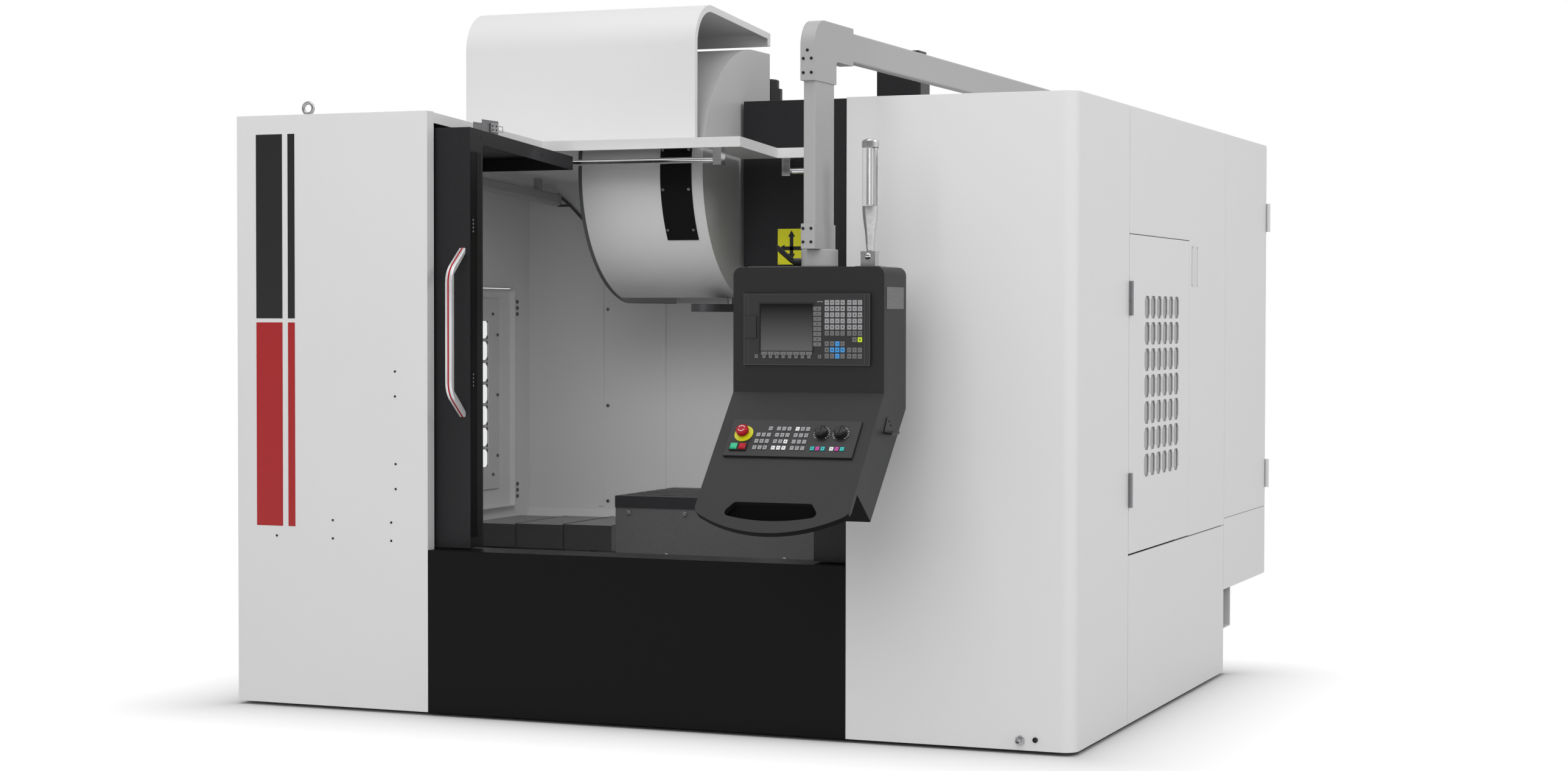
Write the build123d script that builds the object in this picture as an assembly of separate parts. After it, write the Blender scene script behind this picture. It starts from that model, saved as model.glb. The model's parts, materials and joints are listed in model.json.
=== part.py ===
from build123d import *
import math
import os

# Enclosed vertical machining centre, in millimetres. While it is built, x runs to the right, y from the
# front face towards the rear and z up from the floor. The last lines move the origin to the middle.

# Enclosure
width = 3300
enclosure_height = 2237
body_depth = 2257
chamber_behind = 143
opening_width = 1652
sheet = 4
floor_gap = 12
front_return = 51
front_corner_radius = 50
front_wrap = 693
sill_height = 614
sill_depth = 180
seam = 4
lap = 30
flange_height = 40
roof_fall_share = 0.0593
left_roof_ahead = 850
right_roof_ahead = 464
roof_step_x = 32
cut_overrun = 20
half_width = width / 2
half_opening = opening_width / 2
inner_half = half_width - sheet
chamber_depth = body_depth + chamber_behind
column_gap = 40
spindle_throat = 654
column_front = chamber_depth + column_gap
spindle_y = column_front - spindle_throat
left_roof_front = spindle_y - left_roof_ahead
right_roof_front = spindle_y - right_roof_ahead
back_wall_rear = chamber_depth + sheet

# Side doors and their slotted windows
side_door_length = 923
side_door_height = 1150
side_door_bottom = 627
side_door_thickness = 30
side_door_gap = 3
right_side_door_front = front_wrap + side_door_gap
left_side_door_margin = 47
left_side_door_rear = body_depth - left_side_door_margin
left_side_door_bottom = 616
left_side_door_height = 990
left_window_rise = 177
left_door_front = left_side_door_rear - side_door_length
side_window_offset = 216
side_window_rise = 259
slot_columns = 6
slot_rows = 7
slot_pitch_y = 91
slot_pitch_z = 97
slot_bar = 14
slot_corner = 16
side_glass = 6
hinge_leaf_height = 124
hinge_leaf_depth = 26
hinge_leaf_proud = 5
hinge_knuckle_radius = 8
hinge_fit = 0.3
hinge_low_share = 0.2
hinge_high_share = 0.8
left_hinge_low_share = 0.07
left_hinge_high_share = 0.93

# Sliding front doors
door_front = 64
door_thickness = 99
door_exposed = 144
door_length = 860
door_top = 2177
door_fall_share = 0.0717
door_sill_gap = 6
door_skin = 6
door_top_depth = 53
window_length = 500
window_height = 880
window_bottom = 1020
window_glass = 10
window_offset = 230
rod_radius = 12
door_roof_gap = 21
rod_drop = 22
rod_fit = 0.3
hanger_length = 70
hanger_depth = 66
hanger_height = 48
hanger_lead_inset = 160
hanger_tail_inset = 60
rod_bracket_length = 36
rod_bracket_depth = 40
rod_inner_end = 50
left_door_reach = left_roof_front - door_roof_gap
right_door_reach = right_roof_front - door_roof_gap
rod_offset = door_roof_gap + sheet + rod_bracket_depth / 2

# Bow handles on the doors
handle_length = 628
handle_reach = 110
handle_width = 28
handle_thick = 22
handle_foot = 90
handle_center_z = 1419
handle_inset = 31

# Bed, levelling pads and column
bed_width = 1040
bed_top_width = 860
bed_ahead = 536
column_foot = 560
bed_front = spindle_y - bed_ahead
bed_rear = column_front + column_foot
bed_bottom = 60
bed_shoulder = 210
bed_top = 380
bed_pocket_wall = 60
bed_pockets = 4
pad_radius = 70
pad_height = 25
stud_radius = 24
pad_inset = 90
column_width = 840
column_top = 2300
column_top_depth = 420
column_screw_recess = 160
column_recess_depth = 70
pocket_columns = 2
pocket_rows = 4
pocket_width = 300
pocket_height = 380
pocket_depth = 240
pocket_rib = 60

# Linear rails and carriage blocks
rail_width = 45
rail_height = 40
y_rail_spread = 600
y_rail_inset = 10
y_rail_rear_gap = 110
y_rail_start = bed_front + y_rail_inset
y_rail_end = column_front - y_rail_rear_gap
z_rail_spread = 380
z_rail_bottom = 840
rail_fit = 0.5
block_width = 100
block_length = 120
block_wrap = 32
block_crown = 30

# Saddle, table and way covers
saddle_length = 1900
saddle_depth = 460
saddle_bottom = bed_top + rail_height + block_crown
saddle_thickness = 90
saddle_corner = 60
y_block_spread = 300
x_rail_spread = 360
x_rail_height = 30
x_rail_length = 1880
x_block_spread = 440
table_length = 1540
table_depth = 600
table_top = 727
table_edge = 48
table_body_inset = 14
slot_count = 5
slot_pitch = 100
slot_width = 18
slot_depth = 20
slot_head_width = 32
slot_head_height = 14
apron_thickness = 8
apron_bottom = 430
cover_stages = 4
cover_length = 480
cover_pitch = 230
cover_far_end = 1500
cover_depth = 500
cover_top = 598
cover_skirt = 110
cover_sheet = 3
cover_nest = 3.5
motor_size = 130
motor_length = 170
motor_edge = 14

# Head and spindle
head_width = 500
head_ahead = 143
head_front = spindle_y - head_ahead
head_top = 2378
head_cover_bottom = 1690
casting_front_gap = 40
casting_bottom = 1660
casting_top = 2290
carriage_bottom = 1560
carriage_depth = 150
throat_rise = 174
throat_rise_y = spindle_y + throat_rise
nose_radius = 95
nose_drop = 80
spindle_nose_z = 1560
spindle_flange_radius = 64
spindle_flange_height = 18
spindle_radius = 45
spindle_length = 340
spindle_fit = 0.3
taper_mouth_radius = 22.2
taper_end_radius = 12.7
taper_depth = 65
z_motor_x = 153
z_motor_width = 205
z_motor_depth = 130
z_motor_height = 350
z_motor_cap = 60
z_motor_neck = 12

# Tool magazine and changer
magazine_z = 2071
magazine_radius = 535
magazine_left = -823
magazine_right = -265
magazine_behind = 183
magazine_rear = spindle_y + magazine_behind
magazine_bottom = 1540
magazine_step_behind = 444
magazine_back_left = spindle_y + magazine_step_behind
magazine_step_x = -440
access_width = 138
access_thickness = 6
access_x = -383
access_low_angle = 166
access_high_angle = 211
carousel_x = -565
carousel_disc = 30
carousel_radius = 425
carousel_hub_radius = 75
carousel_hub_length = 150
pot_circle = 380
pot_radius = 32
pot_length = 110
pot_count = 24
carousel_windows = 6
carousel_window_radius = 80
carousel_window_circle = 215
changer_x = -340
changer_width = 142
gearbox_depth = 170
gearbox_bottom = 1560
gearbox_top = 2170
beam_bottom = 1650
beam_top = 1850
tower_behind = 199
tower_front = spindle_y + tower_behind
tower_depth = 160
tower_top = 2240
axle_radius = 50
axle_fit = 0.3
quill_radius = 40
quill_length = 265
changer_motor_radius = 88
changer_motor_height = 265
changer_motor_cap = 40
arm_top = 1533
arm_thick = 33
arm_waist = 84
arm_palm_radius = 58
arm_grip_radius = 33
arm_hub_radius = 62

# Hood over the magazine
hood_left = -1317
hood_right = -275
hood_ahead = 591
hood_behind = 214
hood_front = spindle_y - hood_ahead
hood_rear = spindle_y + hood_behind
hood_top_front = 2749
hood_fall = 52
hood_bend = 170
hood_hem = 28

# Console arm and console
console_x = 892
pivot_inset = 40
post_y = -426
post_width = 42
post_front = 96
post_rear = 80
boom_bottom = 2338
boom_height = 98
boom_tail = 90
arm_edge = 6
elbow_wall = 4
elbow_front_wall = 18
elbow_rear_wall = 8
elbow_bottom = 2248
elbow_inner_z = 2324
elbow_reach = 160
elbow_top = 2450
elbow_bend = 92
elbow_inner_bend = 12
socket_height = 82
collar_radius = 61
collar_height = 59
pivot_radius = 70
pivot_flange_radius = 112
pivot_flange = 18
console_width = 530
console_front = -532
console_depth = 215
console_top = 1641
console_fold_z = 1230
console_kink_z = 1174
console_corner = 28
desk_run = -379
desk_drop = 432
desk_side_share = 0.86
desk_box_share = 0.7
desk_plate = 21
desk_corner = 45
desk_low_y = -657
desk_low_z = 822
grip_slot_top = 455
grip_slot_side = 503
grip_slot_low = 526
grip_slot_top_half = 132
grip_slot_side_half = 166
grip_slot_corner = 16
unit_left = -222
unit_width = 442
unit_bottom = 1320
unit_height = 233
unit_thick = 12
screen_left = -163
screen_width = 184
screen_bottom = 1366
screen_height = 153
screen_thick = 4
key_proud = 3
key_wide = 15
key_high = 16
key_pitch_x = 18.3
key_pitch_z = 20
key_block_gap = 4.9
key_field_x = 72
key_field_z = 1524.3
key_field_columns = 7
key_block_columns = 4
key_field_rows = 6
enter_z = 1404
cursor_z = 1390.2
cursor_rows = 3
soft_key_count = 8
soft_side_x = 38.5
soft_side_z = 1388.3
soft_side_pitch = 16.53
soft_side_wide = 28
soft_side_high = 14
soft_low_x = -148.5
soft_low_pitch = 22.6
soft_low_top = 1363.8
soft_low_step = 11
soft_low_wide = 21
soft_low_neck = 12
corner_key_x = (-176, 47)
corner_key_z = 1348
corner_key = 12
panel_left = -223
panel_width = 446
panel_start = 122.5
panel_height = 151
panel_thick = 8
group_rows = 4
group_columns = 3
group_left = -120
group_pitch = 65
group_top = 160.5
group_row_pitch = 26.4
group_key_wide = 13
group_key_high = 15
group_key_pitch = 18.2
color_left = 80
color_pitch = 66
color_groups = 2
estop_u = -172
estop_v = 184
estop_radius = 21
estop_stem_radius = 12
estop_height = 30
estop_head = 16
estop_travel = 5
button_size = 24
button_proud = 10
button_v = 238.5
start_u = -192
stop_u = -162
button_travel = 3
knob_radius = 20
knob_height = 22
knob_v = 176.5
feed_knob_u = 97
spindle_knob_u = 162.5
knob_pointer = 5
button_fit = 0.4
lamp_x = 1062
lamp_y = -405
lamp_foot_width = 51
lamp_flange_width = 88
lamp_foot_depth = 46
lamp_foot_height = 52
lamp_stem_top = 1841
lamp_stem_radii = (11.5, 12.5, 17.5, 24, 26)
lamp_stem_shares = (0, 0.06, 0.42, 0.75, 1)
lamp_tube_radius = 26.5
lamp_tube_top = 2034
lamp_cap_radius = 28.5
lamp_cap_top = 2062
lamp_cap_edge = 12

# Electrical cabinet, lifting eyes and work light
cabinet_left = 700
cabinet_gap = 6
cabinet_depth = 681
cabinet_front = back_wall_rear + cabinet_gap
cabinet_rear = cabinet_front + cabinet_depth
pivot_y = cabinet_front + pivot_inset
cabinet_bottom = 353
cabinet_door_thickness = 25
cabinet_bracket_depth = 100
cabinet_bracket_height = 80
cabinet_bracket_shares = (0.2, 0.84)
module_depth = 160
module_height = 380
module_width = 90
module_count = 6
module_z = 1350
plate_gap = 40
eye_x = 1390
eye_front_y = 90
eye_rear_margin = 57
eye_rear_y = body_depth - eye_rear_margin
eye_ring = 21
eye_wire = 7
eye_shank = 12
light_length = 1300
light_x = -1494
light_rear_gap = 55
light_rear = chamber_depth - light_rear_gap
light_front = light_rear - light_length
light_drop = 56
light_height = 52
light_depth = 44
light_hanger_width = 24
light_hanger_length = 40
light_hanger_shares = (0.12, 0.85)
fork_thickness = 10
fork_bar = 12
fork_reach = 42
fork_stem_reach = 112
fork_stem_fall = 70

# Chip pan and deflector
pan_floor = 190
pan_clear = 5
deflector_high = 596
deflector_low = 520
deflector_reach = 58
wall_opening_left = -445
wall_opening_right = 272
wall_opening_bottom = 640


def block(x0, x1, y0, y1, z0, z1):
    """A block between its low and high corners."""
    return Pos((x0 + x1) / 2, (y0 + y1) / 2, (z0 + z1) / 2) * Box(x1 - x0, y1 - y0, z1 - z0)


def prism_x(outline, x0, x1):
    """An outline of (y, z) points drawn out along x."""
    face = make_face(Polyline(*[(x0, y, z) for y, z in outline], close=True))
    return extrude(face, x1 - x0, dir=(1, 0, 0))


def prism_y(outline, y0, y1):
    """An outline of (x, z) points drawn out along y."""
    face = make_face(Polyline(*[(x, y0, z) for x, z in outline], close=True))
    return extrude(face, y1 - y0, dir=(0, 1, 0))


def prism_z(outline, z0, z1):
    """An outline of (x, y) points drawn out along z."""
    face = make_face(Polyline(*[(x, y, z0) for x, y in outline], close=True))
    return extrude(face, z1 - z0, dir=(0, 0, 1))


def rod_x(radius, x0, x1, y, z):
    """A round bar along x."""
    return Pos((x0 + x1) / 2, y, z) * Rot(0, 90, 0) * Cylinder(radius, x1 - x0)


def rod_z(radius, x, y, z0, z1):
    """A round bar along z."""
    return Pos(x, y, (z0 + z1) / 2) * Cylinder(radius, z1 - z0)


def group(*shapes):
    """Separate solids kept together as one node."""
    return Compound([solid for shape in shapes for solid in shape.solids()])


def flip(shape):
    """The same piece on the other side of the machine."""
    return mirror(shape, about=Plane.YZ)


def roof_z(y):
    """Height of the roof's outer face, which falls towards the rear."""
    return enclosure_height - roof_fall_share * y


def sloped_sheet(x0, x1, y0, y1):
    """A strip of roof sheet that follows the fall."""
    outline = [(y0, roof_z(y0)), (y1, roof_z(y1)), (y1, roof_z(y1) - sheet), (y0, roof_z(y0) - sheet)]
    return prism_x(outline, x0, x1)


def left_front_panel():
    """Folded tray: a front face with returns at both sides, top and bottom."""
    tray = block(-half_width, -half_opening, 0, front_return, floor_gap, enclosure_height)
    tray -= block(
        -half_width + sheet, -half_opening - sheet, sheet, front_return + cut_overrun,
        floor_gap + sheet, enclosure_height - sheet,
    )
    return tray


def right_front_panel():
    """Sheet that wraps the rounded front corner, with a return beside the opening."""
    outer = Pos((half_opening + half_width) / 2, front_wrap / 2) * Rectangle(half_width - half_opening, front_wrap)
    corner = outer.vertices().sort_by(Axis.X)[-2:].sort_by(Axis.Y)[0]
    outer = fillet(corner, front_corner_radius)
    inner_length = half_width - half_opening - 2 * sheet
    inner = Pos((half_opening + half_width) / 2, sheet + front_wrap / 2) * Rectangle(inner_length, front_wrap)
    corner = inner.vertices().sort_by(Axis.X)[-2:].sort_by(Axis.Y)[0]
    inner = fillet(corner, front_corner_radius - sheet)
    skin = outer - inner
    behind = front_wrap - front_return
    skin -= Pos(half_opening, front_return + behind / 2) * Rectangle(2 * lap, behind)
    panel = Pos(0, 0, floor_gap) * extrude(skin, enclosure_height - floor_gap, dir=(0, 0, 1))
    cap = block(
        half_opening + sheet, inner_half - front_corner_radius, sheet, front_return,
        enclosure_height - sheet, enclosure_height,
    )
    return panel + cap


def front_lower_panel():
    """Black tray under the opening, with the sill that the doors run over."""
    tray = block(-half_opening, half_opening, 0, front_return, floor_gap, sill_height)
    tray -= block(
        -half_opening + sheet, half_opening - sheet, sheet, front_return + cut_overrun,
        floor_gap + sheet, sill_height - sheet,
    )
    sill = block(-half_opening, half_opening, 0, sill_depth, sill_height - sheet, sill_height)
    return tray + sill


def side_door_cut(front, bottom, height):
    """The hole that a side door closes, through the right wall."""
    return block(
        inner_half - lap, half_width + cut_overrun, front - side_door_gap,
        front + side_door_length + side_door_gap, bottom - side_door_gap, bottom + height + side_door_gap,
    )


def right_side_wall():
    """Upper and lower sheets of the right wall, each lapped behind its neighbour."""
    lower_top = side_door_bottom - side_door_gap - seam
    front = front_wrap + seam
    strip_top = roof_z(back_wall_rear) - flange_height
    upper = block(inner_half, half_width, front, body_depth, lower_top + seam, enclosure_height)
    upper -= side_door_cut(right_side_door_front, side_door_bottom, side_door_height)
    door_head = side_door_bottom + side_door_height + side_door_gap
    upper += block(inner_half - sheet, inner_half, front - lap, front + lap, door_head, strip_top)
    lower = block(inner_half, half_width, front, body_depth, floor_gap, lower_top)
    lower += block(inner_half - sheet, inner_half, front - lap, body_depth, lower_top - lap, lower_top)
    rear_strip = block(
        inner_half - sheet, inner_half, body_depth - lap, body_depth + seam + lap, lower_top, strip_top,
    )
    return group(upper + rear_strip, lower)


def left_side_wall():
    """Plain left wall with the hole for its door."""
    wall = block(inner_half, half_width, front_return, back_wall_rear, floor_gap, enclosure_height)
    return flip(wall - side_door_cut(left_door_front, left_side_door_bottom, left_side_door_height))


def side_door(front, bottom, height, rise, hinge_shares, hinge_at_front):
    """Hinged side door: a folded tray with a grid of slots and two hinge leaves."""
    rear = front + side_door_length
    top = bottom + height
    tray = block(half_width - side_door_thickness, half_width, front, rear, bottom, top)
    tray -= block(
        half_width - side_door_thickness - cut_overrun, half_width - sheet, front + sheet, rear - sheet,
        bottom + sheet, top - sheet,
    )
    for column in range(slot_columns):
        for row in range(slot_rows):
            y, z = slot_center(front, bottom + rise, hinge_at_front, column, row)
            tray -= slot_cutter(y, z)
    for share in hinge_shares:
        z = bottom + share * height
        y = front + hinge_leaf_depth / 2 if hinge_at_front else rear - hinge_leaf_depth / 2
        tray += block(
            half_width, half_width + hinge_leaf_proud, y - hinge_leaf_depth / 2, y + hinge_leaf_depth / 2,
            z - hinge_leaf_height / 2, z + hinge_leaf_height / 2,
        )
        y = front - side_door_gap / 2 if hinge_at_front else rear + side_door_gap / 2
        tray += rod_z(hinge_knuckle_radius, half_width + hinge_knuckle_radius + hinge_fit, y,
                      z - hinge_leaf_height / 2, z + hinge_leaf_height / 2)
    return tray


def slot_center(front, window_bottom, hinge_at_front, column, row):
    """Middle of one slot of a side door's window."""
    offset = side_window_offset + (column + 0.5) * slot_pitch_y
    y = front + offset if hinge_at_front else front + side_door_length - offset
    return y, window_bottom + (row + 0.5) * slot_pitch_z


def slot_cutter(y, z):
    """One slot with cut corners, through the right wall."""
    half_y = (slot_pitch_y - slot_bar) / 2
    half_z = (slot_pitch_z - slot_bar) / 2
    outline = []
    for sign_y, sign_z in ((1, 1), (-1, 1), (-1, -1), (1, -1)):
        flat = (y + sign_y * (half_y - slot_corner), z + sign_z * half_z)
        steep = (y + sign_y * half_y, z + sign_z * (half_z - slot_corner))
        outline += [steep, flat] if sign_y * sign_z > 0 else [flat, steep]
    return prism_x(outline, inner_half - cut_overrun, half_width + cut_overrun)


def side_window(front, window_bottom, hinge_at_front):
    """Glass pane held against the back of a side door's slots."""
    length = slot_columns * slot_pitch_y
    height = slot_rows * slot_pitch_z
    y0 = front + side_window_offset if hinge_at_front else front + side_door_length - side_window_offset - length
    z0 = window_bottom
    return block(half_width - sheet - side_glass, half_width - sheet, y0, y0 + length, z0, z0 + height)


def top_covers():
    """Sloping covers over both ends of the machine, with a flange beside the opening."""
    cover = sloped_sheet(half_opening, inner_half, front_return, back_wall_rear)
    outline = [
        (front_return, roof_z(front_return)), (chamber_depth, roof_z(chamber_depth)),
        (chamber_depth, roof_z(chamber_depth) - flange_height),
        (front_return, roof_z(front_return) - flange_height),
    ]
    cover += prism_x(outline, half_opening, half_opening + sheet)
    return group(cover, flip(cover))


def roof_strip(x0, x1, front):
    """A strip of roof with its front edge turned down."""
    rear = back_wall_rear
    outline = [
        (front, roof_z(front)), (rear, roof_z(rear)), (rear, roof_z(rear) - sheet),
        (front + sheet, roof_z(front + sheet) - sheet), (front + sheet, roof_z(front) - flange_height),
        (front, roof_z(front) - flange_height),
    ]
    return prism_x(outline, x0, x1)


def roof_panel():
    """Middle roof sheet, stepped at its front edge and open for the magazine and the head."""
    roof = roof_strip(-half_opening, roof_step_x, left_roof_front)
    roof += roof_strip(roof_step_x, half_opening, right_roof_front)
    front, rear = left_roof_front + sheet, right_roof_front + sheet
    outline = [
        (front, roof_z(front) - sheet), (rear, roof_z(rear) - sheet), (rear, roof_z(right_roof_front) - flange_height),
        (front, roof_z(left_roof_front) - flange_height),
    ]
    roof += prism_x(outline, roof_step_x - sheet, roof_step_x)
    low, high = roof_z(back_wall_rear) - 2 * flange_height, enclosure_height
    rear = back_wall_rear + cut_overrun
    roof -= block(magazine_left - cut_overrun, magazine_right + cut_overrun, magazine_front() - cut_overrun, rear,
                  low, high)
    head_half = head_width / 2 + cut_overrun
    return roof - block(-head_half, head_half, head_front - cut_overrun, rear, low, high)


def magazine_front():
    """Where the round front of the magazine cover starts."""
    return spindle_y - magazine_radius


def door_z(y):
    """Height of a sliding door's sloping top."""
    return door_top - door_fall_share * (y - door_front)


def sliding_door(reach):
    """Right sliding door: a front panel with its window and a sloping top that hangs on a rod."""
    lead = half_opening - door_exposed
    tail = lead + door_length
    rear = door_front + door_thickness
    bottom = sill_height + door_sill_gap
    outline = [(door_front, bottom), (door_front, door_z(door_front)), (reach, door_z(reach)),
               (reach, door_z(reach) - door_top_depth), (rear, door_z(rear) - door_top_depth), (rear, bottom)]
    door = prism_x(outline, lead, tail)
    pocket = [(rear + door_skin, door_z(rear) - door_top_depth - cut_overrun),
              (rear + door_skin, door_z(rear) - door_skin), (reach - door_skin, door_z(reach) - door_skin),
              (reach - door_skin, door_z(reach) - door_top_depth - cut_overrun)]
    door -= prism_x(pocket, lead + door_skin, tail - door_skin)
    inner = block(lead + door_skin, tail - door_skin, door_front + door_skin, rear + cut_overrun,
                  bottom + door_skin, door_z(rear) - door_top_depth)
    frame = window_frame(lead)
    door -= inner - frame
    door -= window_hole(lead)
    for x in (lead + hanger_lead_inset, tail - hanger_tail_inset):
        door += hanger(x, reach)
    y, z = rod_place(reach)
    door -= rod_x(rod_radius + rod_fit, lead - cut_overrun, tail + cut_overrun, y, z)
    return door


def window_hole(lead):
    """The hole of a door's window, right through the panel."""
    x0 = lead + window_offset
    return block(x0, x0 + window_length, door_front - cut_overrun, door_front + door_thickness + cut_overrun,
                 window_bottom, window_bottom + window_height)


def window_frame(lead):
    """The raised frame that holds a door's glass."""
    x0 = lead + window_offset - lap
    return block(x0, x0 + window_length + 2 * lap, door_front, door_front + door_thickness / 2,
                 window_bottom - lap, window_bottom + window_height + lap)


def door_window():
    """Laminated pane in a door's window hole."""
    x0 = half_opening - door_exposed + window_offset
    y0 = door_front + door_skin
    return block(x0, x0 + window_length, y0, y0 + window_glass, window_bottom, window_bottom + window_height)


def rod_place(reach):
    """Centre of the guide rod behind a door's sloping top, as (y, z)."""
    return reach + rod_offset, door_z(reach) - rod_drop


def hanger(x, reach):
    """Bearing block that carries a door on its rod."""
    y, z = rod_place(reach)
    return block(x - hanger_length / 2, x + hanger_length / 2, reach - door_skin, reach - door_skin + hanger_depth,
                 z - hanger_height / 2, z + hanger_height / 2)


def guide_rod(reach, inner_end):
    """Right guide rod with a bracket under the roof at each end."""
    y, z = rod_place(reach)
    outer_end = inner_half - sheet
    rod = rod_x(rod_radius, inner_end, outer_end, y, z)
    front, rear = y - rod_bracket_depth / 2, y + rod_bracket_depth / 2
    outline = [(front, z - rod_bracket_depth / 2), (front, roof_z(front) - sheet), (rear, roof_z(rear) - sheet),
               (rear, z - rod_bracket_depth / 2)]
    rod += prism_x(outline, inner_end, inner_end + rod_bracket_length)
    return rod + prism_x(outline, outer_end - rod_bracket_length, outer_end)


def door_handle():
    """Bow handle: a flat bar bent into a long bow with two feet on the stile."""
    x = half_opening - door_exposed + handle_inset
    z0 = handle_center_z - handle_length / 2
    z1 = handle_center_z + handle_length / 2
    crown = door_front - handle_reach
    inner = crown + handle_thick
    outline = [(door_front, z0), (crown, z0 + handle_foot), (crown, z1 - handle_foot), (door_front, z1),
               (door_front, z1 - handle_thick), (inner, z1 - handle_foot - handle_thick / 2),
               (inner, z0 + handle_foot + handle_thick / 2), (door_front, z0 + handle_thick)]
    bow = prism_x(outline, x - handle_width / 2, x + handle_width / 2)
    bend = [e for e in bow.edges().filter_by(Axis.X) if abs(e.center().Y - crown) < handle_thick / 2]
    return fillet(bend, handle_foot)


def inner_guard():
    """Back wall, chip pan and the deflector in front of the back wall."""
    wall = block(-inner_half, inner_half, chamber_depth, back_wall_rear, pan_floor, roof_z(back_wall_rear) - sheet)
    wall -= block(wall_opening_left, wall_opening_right, chamber_depth - cut_overrun, back_wall_rear + cut_overrun,
                  wall_opening_bottom, enclosure_height)
    bed_half = bed_width / 2
    wall -= block(-bed_half, bed_half, chamber_depth - cut_overrun, back_wall_rear + cut_overrun,
                  pan_floor - cut_overrun, bed_top + pan_clear)
    floor = block(-inner_half, inner_half, sill_depth - sheet, chamber_depth, pan_floor, pan_floor + sheet)
    floor -= block(-bed_half, bed_half, bed_front, chamber_depth + cut_overrun,
                   pan_floor - cut_overrun, pan_floor + cut_overrun)
    riser = block(-inner_half, inner_half, sill_depth - sheet, sill_depth, pan_floor, sill_height - sheet)
    front = chamber_depth - deflector_reach
    outline = [(chamber_depth, deflector_high), (front, deflector_low), (front, deflector_low - sheet),
               (chamber_depth, deflector_high - sheet)]
    left = prism_x(outline, -inner_half, wall_opening_left)
    right = prism_x(outline, wall_opening_right, inner_half)
    return wall + floor + riser + left + right


def base_casting():
    """Bed: a shouldered casting with rectangular pockets underneath."""
    half = bed_width / 2
    half_top = bed_top_width / 2
    outline = [(-half, bed_bottom), (half, bed_bottom), (half, bed_shoulder), (half_top, bed_top),
               (-half_top, bed_top), (-half, bed_shoulder)]
    bed = prism_y(outline, bed_front, bed_rear)
    pitch = (bed_rear - bed_front - bed_pocket_wall) / bed_pockets
    for index in range(bed_pockets):
        y0 = bed_front + bed_pocket_wall + index * pitch
        for side in (-1, 1):
            near = side * bed_pocket_wall / 2
            far = side * (half_top - bed_pocket_wall)
            bed -= block(min(near, far), max(near, far), y0, y0 + pitch - bed_pocket_wall,
                         bed_bottom - cut_overrun, bed_top - bed_pocket_wall)
    return bed


def levelling_pads():
    """Six machine feet: a round pad and the stud that carries the bed."""
    pads = []
    x = bed_width / 2 - pad_inset
    for side in (-1, 1):
        for y in (bed_front + pad_inset, (bed_front + bed_rear) / 2, bed_rear - pad_inset):
            pads.append(rod_z(pad_radius, side * x, y, 0, pad_height) + rod_z(stud_radius, side * x, y, 0, bed_bottom))
    return group(*pads)


def column():
    """Tapered column with a recess for the feed screw and cored pockets at the back."""
    outline = [(column_front, bed_top), (bed_rear, bed_top), (column_front + column_top_depth, column_top),
               (column_front, column_top)]
    body = prism_x(outline, -column_width / 2, column_width / 2)
    recess = column_screw_recess / 2
    body -= block(-recess, recess, column_front - cut_overrun, column_front + column_recess_depth,
                  bed_top + pocket_rib, column_top + cut_overrun)
    for column_index in range(pocket_columns):
        x = (column_index - (pocket_columns - 1) / 2) * (pocket_width + pocket_rib)
        for row in range(pocket_rows):
            z = bed_top + pocket_rib + row * (pocket_height + pocket_rib)
            body -= block(x - pocket_width / 2, x + pocket_width / 2, bed_rear - pocket_depth,
                          bed_rear + cut_overrun, z, z + pocket_height)
    return body


def linear_rails():
    """Rails of the bed and of the column."""
    rails = []
    for side in (-1, 1):
        x = side * y_rail_spread / 2
        rails.append(block(x - rail_width / 2, x + rail_width / 2, y_rail_start, y_rail_end, bed_top,
                           bed_top + rail_height))
        x = side * z_rail_spread / 2
        rails.append(block(x - rail_width / 2, x + rail_width / 2, column_front - rail_height, column_front,
                           z_rail_bottom, column_top))
    return group(*rails)


def servo_motor(length):
    """A motor along x: a square body with rounded edges, a flange and a round rear cap."""
    body = Box(length, motor_size, motor_size)
    body = fillet(body.edges().filter_by(Axis.X), motor_edge)
    cap = Pos(-length / 2, 0, 0) * Rot(0, 90, 0) * Cylinder(motor_size / 2 - motor_edge, motor_edge)
    return body + cap


def axis_motors():
    """The bed's motor in front of it and the column's motor on top."""
    bed_motor = Rot(0, 0, 90) * servo_motor(motor_length)
    bed_motor = Pos(0, bed_front - motor_length / 2, bed_top - motor_size / 2 - pan_clear) * bed_motor
    x0 = z_motor_x - z_motor_width / 2
    base = block(x0, x0 + z_motor_width, column_front, column_front + z_motor_depth, column_top,
                 column_top + z_motor_height - z_motor_cap)
    neck = z_motor_neck
    cap = block(x0 + neck, x0 + z_motor_width - neck, column_front + neck, column_front + z_motor_depth - neck,
                column_top, column_top + z_motor_height)
    column_motor = fillet((base + cap).edges().filter_by(Axis.Z), neck / 2)
    return group(bed_motor, column_motor)


def rail_block_z(x, y, rail_top, width):
    """Carriage block that wraps a rail along y from above."""
    shell = block(x - block_width / 2, x + block_width / 2, y - block_length / 2, y + block_length / 2,
                  rail_top - block_wrap, rail_top + block_crown)
    groove = width / 2 + rail_fit
    return shell - block(x - groove, x + groove, y - block_length, y + block_length, rail_top - block_wrap - cut_overrun,
                         rail_top + rail_fit)


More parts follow.
